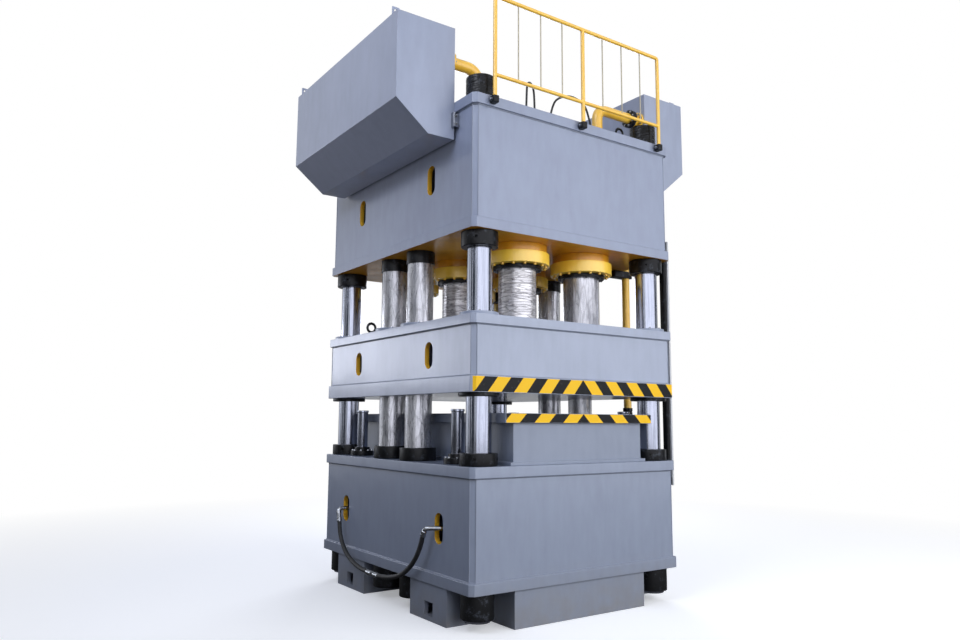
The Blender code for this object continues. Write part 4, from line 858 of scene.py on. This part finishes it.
# The steps above the flanges take the darker yellow: painted shade.
turned("cylinder_steps", bored_ring(STEP_R, FLANGE_BORE, STEP_Z - 0.002, CROWN_Z - SEAT),
       CYLINDERS, YELLOW_PAINTED_SHADE, edge=0.003, closed=True)
turned("cylinder_barrels", solid_bar(BARREL_R, CROWN_Z + 1.025, CROWN_Z + 0.012), CYLINDERS, GREY,
       edge=0.004, steps=48)
turned("gland_rings", bored_ring(GLAND_R, GLAND_BORE, GLAND_Z, FLANGE_Z + 0.002), CYLINDERS,
       BLACK, edge=0.006, closed=True)
bolts("flange_bolts", rings_of(CYLINDERS, 0.287, 16, FLANGE_Z), 0.024, YELLOW, axis=(0, 0, -1),
      steps=8)
bolts("gland_bolts", rings_of(CYLINDERS, 0.226, 8, GLAND_Z, 0.3), 0.016, BOLT_STEEL,
      axis=(0, 0, -1))
PLUNGER_FILM = dict(radius=0.1896, fold=0.0022)
FILM_LOW, FILM_HIGH = SLIDE_TOP + 0.036, CROWN_Z + 0.42
UPRIGHT_ONE = CYLINDER_NAMES.index("front_right")
film("plunger_film", CYLINDERS[:UPRIGHT_ONE] + CYLINDERS[UPRIGHT_ONE + 1:], FILM_LOW,
             FILM_HIGH, FILM_ROUND, "slide",
             ["plunger_" + name for name in CYLINDER_NAMES if name != "front_right"],
             rows=150, steps=96, turns=(0, 2), waves=(60, 190), **PLUNGER_FILM)
film("plunger_film_upright", [CYLINDERS[UPRIGHT_ONE]], FILM_LOW, FILM_HIGH, FILM_UPRIGHT,
             "slide", ["plunger_front_right"], rows=90, steps=160, **UPRIGHT, **PLUNGER_FILM)
turned("plunger_feet", [(0, SLIDE_TOP + SEAT), (FOOT_R, SLIDE_TOP + SEAT), (FOOT_R, FOOT_TOP),
                        (0.19, SLIDE_TOP + 0.0355), (0, SLIDE_TOP + 0.0355)],
       CYLINDERS, GREY, "slide", edge=0.005)
bolts("plunger_foot_bolts", rings_of(CYLINDERS, 0.217, 10, FOOT_TOP, 0.15), 0.018, ZINC, "slide")

# Levelling cylinders under the slide
CAP_TOP, LEVEL_FLANGE, BARREL_END = BED_TOP + 0.095, BED_TOP + 0.055, BED_TOP - 0.660
ROD_TOP = SLIDE_Z - 0.143
CAP_LOW, ROD_END = ROD_TOP - 0.022, ROD_TOP - 0.830
turned("levelling_barrels",
               [(0.061, CAP_TOP), (0.086, CAP_TOP), (0.086, LEVEL_FLANGE), (0.130, LEVEL_FLANGE),
                (0.130, BED_TOP + SEAT), (0.090, BED_TOP + SEAT), (0.090, BARREL_END),
                (0.061, BARREL_END)],
               AT_LEVELS, BLACK, edge=0.004, steps=64, closed=True,
               replaces=nodes_at("levelling_barrel"))
bolts("levelling_bolts", rings_of(AT_LEVELS, 0.108, 8, LEVEL_FLANGE, 0.2), 0.020, ZINC)
for place, at in zip(PLACES, AT_LEVELS):
    name = "levelling_rod_" + place
    turned(name + "_bright", [(0, ROD_TOP), (0.066, ROD_TOP), (0.066, CAP_LOW),
                                      (0.060, CAP_LOW), (0.060, ROD_END), (0, ROD_END)],
                   [at], CHROME, name, [name], edge=0.004, steps=64)


# Stripes on the front edges of the slide and the table
def stripe_band(name, plan, outward, z_low, z_high, finish, body="frame"):
    """Paint a little proud of a plate's edge: at each point of its plan the section has corners
    outside and inside the edge, at the low and the high level."""
    proud, sunk = 0.0006, -0.004
    plan, outward = np.asarray(plan, dtype=float), np.asarray(outward, dtype=float)
    shifts = ((proud, z_low), (proud, z_high), (sunk, z_high), (sunk, z_low))
    rows = np.stack([np.column_stack([plan + shift * outward, np.full(len(plan), z)])
                     for shift, z in shifts], 1)
    rows = np.concatenate([rows[:1].mean(1, keepdims=True).repeat(4, 1), rows,
                           rows[-1:].mean(1, keepdims=True).repeat(4, 1)])
    piece(name, rows.reshape(-1, 3), grid_faces(len(rows), 4), finish, body)


# The slide's stripes end part of the way along its chamfers, and turn there by 45 degrees
END_X, END_Y, MITRE = 0.018, 0.022, math.tan(math.pi / 8)
STRIPE_IN = 0.006
stripe_band("slide_stripes",
            [(-HALF_X + END_X, -HALF_Y + END_Y), (-HALF_X + CHAMFER, -HALF_Y),
             (HALF_X - CHAMFER, -HALF_Y), (HALF_X - END_X, -HALF_Y + END_Y)],
            [(-0.707, -0.707), (-MITRE, -1), (MITRE, -1), (0.707, -0.707)],
            SLIDE_Z + STRIPE_IN, SLIDE_Z + SLIDE_PLATE - STRIPE_IN, SLIDE_STRIPES, "slide")
TABLE_X, TABLE_Y = 0.928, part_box("bolster_plate")[0][1]
stripe_band("table_stripes", [(-TABLE_X, TABLE_Y), (TABLE_X, TABLE_Y)], [(0, -1), (0, -1)],
            BOLSTER_TOP + 0.004, TABLE_Z - 0.004, TABLE_STRIPES)


# Tank pipes, the fill pipe and their flanges
def pipe_flange(name, at, axis, radius, thick, finish, bolt_r=None):
    """A pipe flange turned about an axis, with eight bolt heads, where it has any, on the side
    that the axis points to."""
    turned(name, solid_bar(radius, 0, thick), [at], finish, axis=axis, edge=0.003, steps=48)
    if bolt_r is None:
        return
    way, first, second = across(axis)
    a = np.arange(8) * 2 * math.pi / 8 + 0.2
    spots = (np.asarray(at) + way * thick
             + bolt_r * (np.cos(a)[:, None] * first + np.sin(a)[:, None] * second))
    bolts(name + "_bolts", spots, 0.018, ZINC, axis=axis)


TANK_PIPE_END, FLANGE, FLANGE_BOLTS = 1.2998, 0.100, 0.082
for side, sign, leg_x in (("left", -1, 0.96), ("right", 1, 0.66)):
    end = (sign * TANK_PIPE_END, PIPE_Y, PIPE_Z)
    foot = (sign * leg_x, PIPE_Y, CROWN_TOP + SEAT)
    line = bent_path([end, (sign * leg_x, PIPE_Y, PIPE_Z), foot], 0.140)
    name = "tank_pipe_" + side
    tube(name + "_bend", line, PIPE_R, YELLOW, steps=48, replaces=[name])
    pipe_flange(name + "_end", end, (-sign, 0, 0), FLANGE, 0.026, YELLOW, FLANGE_BOLTS)
    pipe_flange(name + "_foot", foot, (0, 0, 1), FLANGE, 0.026, YELLOW, FLANGE_BOLTS)
for place, x, way in (("out", 1.172, 1), ("in", 1.168, -1)):
    pipe_flange("joint_flange_" + place, (x, PIPE_Y, PIPE_Z), (way, 0, 0), FLANGE, 0.024, BLACK,
                FLANGE_BOLTS)

FILL_TOP, FILL_END = (FILL_X, FILL_Y, TANK_LOW_Z - SEAT), (WALL_X + SEAT, FILL_Y, PORT_Z)
FILL_FLANGE, NECK, UNION_Z = 0.056, 0.050, 1.886
line = bent_path([FILL_TOP, (FILL_X, FILL_Y, PORT_Z), FILL_END], 0.080)
tube("fill_pipe_bend", line, FILL_R, YELLOW, steps=40, replaces=["fill_pipe"])
pipe_flange("fill_tank_flange", FILL_TOP, (0, 0, -1), FILL_FLANGE, 0.026, YELLOW)
pipe_flange("fill_bed_flange", FILL_END, (1, 0, 0), FILL_FLANGE, 0.013, YELLOW)
turned("fill_union", [(0, 0), (FILL_FLANGE, 0), (FILL_FLANGE, 0.036), (NECK, 0.040),
                      (NECK, 0.048), (FILL_FLANGE, 0.052), (FILL_FLANGE, 0.088), (0, 0.088)],
       [(FILL_X, FILL_Y, UNION_Z)], BLACK, edge=0.002, steps=12)
slab("fill_clamp", (1.168, FILL_Y - 0.057, 3.478), (1.449, FILL_Y + 0.057, CROWN_Z - SEAT),
     BLACK, corner=0.012)

# Bracket that holds the left tank's front end to the crown
BRACKET_X, BRACKET_Y, BRACKET_LOW, BRACKET_HIGH = -1.336, -1.262, 4.572, 4.716
slab("tank_bracket", (BRACKET_X, BRACKET_Y, BRACKET_LOW),
     (-WALL_X - SEAT, -TANK_HALF_Y - 0.0005, BRACKET_HIGH), ZINC, corner=0.004)
bolts("tank_bracket_bolts", [(BRACKET_X + 0.031, BRACKET_Y, z)
                             for z in (BRACKET_LOW + 0.033, BRACKET_HIGH - 0.033)], 0.020, ZINC,
      axis=(0, -1, 0))

# Switch post with a pale scale bar
BAR_X, BAR_Y, BAR_HALF = 1.378, -1.425, 0.0125


def post_finish(middles, normals):
    """The scale bar's faces (1) apart from the post's (0)."""
    on_bar = (np.abs(middles[:, 1] - BAR_Y) < BAR_HALF) & (np.abs(middles[:, 0] - BAR_X) < BAR_HALF)
    return on_bar.astype(int)


dressed("switch_post", [BLACK, BAR_WHITE], post_finish, 0.002)

# Guard rail along the front of the crown
RAIL_FOOT_Z, HANDRAIL_Z = 4.765, RAIL_TOP_Z - 0.001
line = bent_path([(-RAIL_X, RAIL_Y, RAIL_FOOT_Z), (-RAIL_X, RAIL_Y, HANDRAIL_Z),
                  (RAIL_X, RAIL_Y, HANDRAIL_Z), (RAIL_X, RAIL_Y, RAIL_FOOT_Z)], 0.030, 6)
tube("rail_frame", line, 0.0195, YELLOW, steps=20, replaces=["guard_rail"])
tube("rail_middle_post", [(0, RAIL_Y, z) for z in (RAIL_FOOT_Z, 5.2, 5.5, RAIL_TOP_Z - 0.004)],
     0.0205, YELLOW, steps=20)
tube("rail_low_bar", [(x, RAIL_Y, RAIL_LOW_Z) for x in (-RAIL_X, -0.4, 0.4, RAIL_X)], 0.018,
     YELLOW, side=(0, 0, 1), steps=20)
rod = turned_shape(solid_bar(0.0065, RAIL_LOW_Z, RAIL_TOP_Z), edge=0, steps=10)
ROD_STEP, FOOT_HALF = RAIL_X / 4, 0.030
piece("rail_thin_rods", *repeated(*rod, [(k * ROD_STEP, RAIL_Y) for k in (-3, -2, -1, 1, 2, 3)]),
      PALE_RODS)
for name, x in (("left", -RAIL_X), ("middle", 0.0), ("right", RAIL_X)):
    slab("rail_foot_" + name, (x - FOOT_HALF, RAIL_Y - FOOT_HALF, 4.745),
         (x + FOOT_HALF, -HALF_Y - SEAT, 4.811), BLACK, corner=0.008)
    bolts("rail_foot_bolt_" + name, [(x - FOOT_HALF, RAIL_Y + 0.012, 4.778)], 0.022, ZINC,
          axis=(-1, 0, 0))

# Hoses: the long one between the levelling cylinders, and two that arch over the crown
HOSE_ROUTE = [
    (-1.374, -0.868, 0.765), (-1.377, -0.822, 0.655), (-1.380, -0.745, 0.545),
    (-1.382, -0.640, 0.450), (-1.384, -0.490, 0.365), (-1.385, -0.290, 0.308),
    (-1.385, -0.070, 0.282), (-1.384, 0.140, 0.278), (-1.382, 0.380, 0.292),
    (-1.379, 0.590, 0.335), (-1.376, 0.750, 0.403), (-1.373, 0.858, 0.492),
    (-1.370, 0.925, 0.595), (-1.366, 0.958, 0.700),
]
PORT_X, ELBOW_X = -1.1803, -1.2403
SLEEVE_R, SLEEVE_BORE = 0.0262, 0.0222


def declared(name, route, count, radius, replaces, with_pieces=()):
    """A rubber hose along the smooth curve of its route."""
    run = smooth_path(route, count)
    cover = tube(name, run, radius, RUBBER, side=(1, 0, 0), steps=20, replaces=replaces)


def fitting(place, y, tip, beyond):
    """A bright elbow out of the bed to a hose end, with a hexagon nut and a pressed sleeve."""
    way = (tip - beyond) / np.linalg.norm(tip - beyond)
    elbow = tip + way * (PORT_Z - tip[2]) / way[2]
    line = bent_path([(PORT_X, y, PORT_Z), (ELBOW_X, y, PORT_Z), elbow, tip + way * SEAT],
                     0.045, 8)
    tube("hose_elbow_" + place, line, 0.0215, ZINC, replaces=["hose_fitting_" + place])
    turned("hose_nut_" + place, solid_bar(0.0255, 0, 0.030), [elbow - way * 0.060], ZINC,
           axis=way, edge=0.001, steps=6)
    return turned("hose_sleeve_" + place,
                  [(0, -0.002), (SLEEVE_R, 0), (SLEEVE_R, 0.020), (0.0248, 0.026),
                   (SLEEVE_R, 0.032), (SLEEVE_R, 0.050), (0.0215, 0.056), (0, 0.056)],
                  [tip], ZINC, axis=way, edge=0.001, steps=28)


def arched_route(bosses, rise, top_r):
    """A hose that stands up from two bosses: straight ends, two legs and a half round top."""
    low = CROWN_TOP + 0.030 + SEAT
    start, end = (np.array((*boss, low)) for boss in bosses)
    middle = (start + end) / 2
    aside = (end - start) / np.linalg.norm(end - start) * top_r
    high, drop = np.array((0, 0, CROWN_TOP + rise - low)), np.array((0, 0, top_r))
    t = np.linspace(0, math.pi, 5)[:, None]
    top = middle + high - drop - aside * np.cos(t) + drop * np.sin(t)
    step = np.array((0, 0, 2 * ARCH_R))
    return [start, start + step, start + 2 * step, start + (top[0] - start) * 0.5, *top,
            end + (top[-1] - end) * 0.5, end + 2 * step, end + step, end]


def coupling(run, y):
    """Two pressed sleeves and a hexagon nut that join the hose's halves where it passes y."""
    i = int(np.argmin(np.abs(run[:, 1] - y)))
    way = run[i + 1] - run[i - 1]
    way /= np.linalg.norm(way)
    sleeve = [(SLEEVE_BORE, 0), (SLEEVE_R, 0.004), (SLEEVE_R, 0.030), (0.0246, 0.036),
              (SLEEVE_R, 0.042), (SLEEVE_R, 0.062), (0.0246, 0.068), (SLEEVE_R, 0.074),
              (SLEEVE_R, 0.088), (SLEEVE_BORE, 0.092)]
    nut = turned("coupling_nut", [(SLEEVE_BORE, -0.022), (0.0290, -0.022), (0.0290, 0.022),
                                  (SLEEVE_BORE, 0.022)],
                 [run[i]], ZINC, axis=way, edge=0.002, steps=6, closed=True)
    sleeves = [turned("coupling_sleeve_" + side, sleeve, [run[i] + way * 0.030 * sign], ZINC,
                      axis=way * sign, edge=0.001, steps=28, closed=True)
               for side, sign in (("rear", 1), ("front", -1))]
    return [nut, *sleeves]


run = smooth_path(HOSE_ROUTE, 160)
declared("hose_cover", HOSE_ROUTE, 160, HOSE_R, ["hose"],
         [fitting("front", -0.985, run[0], run[1]), fitting("rear", 0.985, run[-1], run[-2]),
          *coupling(run, 0.095)])
declared("hairpin_cover", arched_route(HAIRPIN_BOSSES, 0.500, 0.100), 90, ARCH_R,
         ["crown_hose_hairpin"])
declared("arch_cover", arched_route(ARCH_BOSSES, 0.460, 0.235), 90, ARCH_R, ["crown_hose_arch"])


# Plain pale floor, soft studio light, and panels that only reflections see
def paper_floor():
    """A disc that looks pale and keeps the shadow near the press, fades to white far from it,
    and throws back no more light than a concrete floor."""
    material = bpy.data.materials.new("pale_floor")
    tree = new_nodes(material)
    place = add(tree, "TexCoord").outputs["Object"]
    radius = add(tree, "VectorMath", {0: place}, operation="LENGTH").outputs["Value"]
    far = add(tree, "MapRange", {"Value": radius, "From Min": 4.0, "From Max": 11.0})
    ray = add(tree, "LightPath")
    tone = add(tree, "Mix", {0: ray.outputs["Is Camera Ray"], 6: rgb("#656463"),
                             7: rgb("#F0F1F3")}, data_type="RGBA")
    matte = add(tree, "BsdfDiffuse", {"Color": tone.outputs[2]})
    lift = add(tree, "Math", {0: ray.outputs["Is Camera Ray"], 1: 0.36}, operation="MULTIPLY")
    glow = add(tree, "Emission", {"Color": rgb("#F4F6FA"), "Strength": lift})
    matte = add(tree, "AddShader", {0: matte, 1: glow})
    plain = add(tree, "Emission", {"Color": rgb("#FFFFFF"), "Strength": 1.0})
    share = add(tree, "Math", {0: ray.outputs["Is Camera Ray"], 1: far},
                operation="MULTIPLY")
    both = add(tree, "MixShader", {0: share, 1: matte, 2: plain})
    add(tree, "OutputMaterial", {"Surface": both})
    disc = turned_shape(solid_bar(20, 0, -0.02), edge=0, steps=64)
    floor = placed("floor", mesh_of("floor", *disc, material))
    floor.location.z = -0.001


def studio_world():
    """White to the eye, to reflections and through glass, and a softer level for the light."""
    world = bpy.data.worlds.new("studio")
    bpy.context.scene.world = world
    tree = new_nodes(world)
    ray = add(tree, "LightPath")
    seen = add(tree, "Math", {0: ray.outputs["Is Camera Ray"],
                              1: ray.outputs["Is Transmission Ray"]}, operation="MAXIMUM")
    glossy = add(tree, "Background", {"Color": rgb("#F4F7FC"), "Strength": 0.85})
    soft = add(tree, "Background", {"Color": rgb("#E3E9F7"), "Strength": 0.38})
    white = add(tree, "Background", {"Color": (1, 1, 1, 1), "Strength": 1.0})
    lit = add(tree, "MixShader", {0: ray.outputs["Is Glossy Ray"], 1: soft, 2: glossy})
    both = add(tree, "MixShader", {0: seen, 1: lit, 2: white})
    add(tree, "OutputWorld", {"Surface": both})


def area_lamp(name, place, target, size, power, colour, mirrored=True, spread=180):
    """A rectangular lamp that faces its target, which reflections see if it is mirrored."""
    lamp = bpy.data.lights.new(name, "AREA")
    lamp.shape = "RECTANGLE"
    lamp.size, lamp.size_y = size
    lamp.energy = power
    lamp.color = rgb(colour)[:3]
    lamp.spread = math.radians(spread)
    made = placed(name, lamp)
    made.location = place
    made.visible_glossy = mirrored
    aim = Vector(target) - Vector(place)
    made.rotation_euler = aim.to_track_quat("-Z", "Y").to_euler()


def panel_finish(name, colour, strength):
    """A panel's plain glow."""
    material = bpy.data.materials.new(name)
    tree = new_nodes(material)
    glow = add(tree, "Emission", {"Color": rgb(colour), "Strength": strength})
    add(tree, "OutputMaterial", {"Surface": glow})
    return material


def panels():
    """Upright panels round the press, each from a first angle over a width in degrees, between
    two heights, seen by reflections alone: dark ones draw the long dark bands on round bright
    bars, a wide pale one in front stands for the daylight that the key lamp gives, and a bright
    row of windows behind the left lights up the slide's left side."""
    floor_z, ceiling_z = -1.0, 12.0
    dark = panel_finish("dark_panel", "#343840", 1.0)
    daylight = panel_finish("daylight_panel", "#F2F4FF", 1.7)
    windows = panel_finish("window_panel", "#EEF2FF", 6.0)
    spans = [(start, width, floor_z, ceiling_z, dark) for start, width in (
        (158, 14), (178, 24), (214, 4), (322, 24), (12, 28), (84, 18), (140, 6))]
    spans += [(220, 98, floor_z, ceiling_z, daylight), (108, 30, 2.9, 4.5, windows)]
    away, posts = 14, 6
    for i, (start, width, z_low, z_high, material) in enumerate(spans):
        a = np.radians(np.linspace(start, start + width, posts))
        low = np.column_stack([away * np.cos(a), away * np.sin(a), np.full(posts, z_low)])
        points = np.concatenate([low, low + (0, 0, z_high - z_low)])
        j = np.arange(posts - 1)
        faces = np.column_stack([j, j + 1, j + posts + 1, j + posts])
        name = f"panel_{i}"
        panel = placed(name, mesh_of(name, points, faces, material))
        panel.visible_camera = panel.visible_diffuse = panel.visible_shadow = False
        panel.visible_transmission = False


paper_floor()
studio_world()
panels()
area_lamp("key_lamp", (2.0, -10.0, 4.2), (0, -0.5, 2.4), (13.0, 7.0), 900, "#FFFFFF",
          mirrored=False)
area_lamp("side_lamp", (-7.5, -2.5, 9.0), (-1.6, 0, 5.0), (5.0, 5.0), 88, "#EAEFFF",
          spread=80)
area_lamp("window_lamp", (-9.0, 3.0, 1.2), (-1.8, 0.6, 4.7), (3.0, 2.0), 9, "#FFF2E6",
          mirrored=False, spread=55)
area_lamp("back_lamp", (6.0, 8.0, 6.0), (0, 0, 2.6), (5.0, 5.0), 480, "#F4F6FF")
bpy.context.scene.view_settings.view_transform = "Standard"
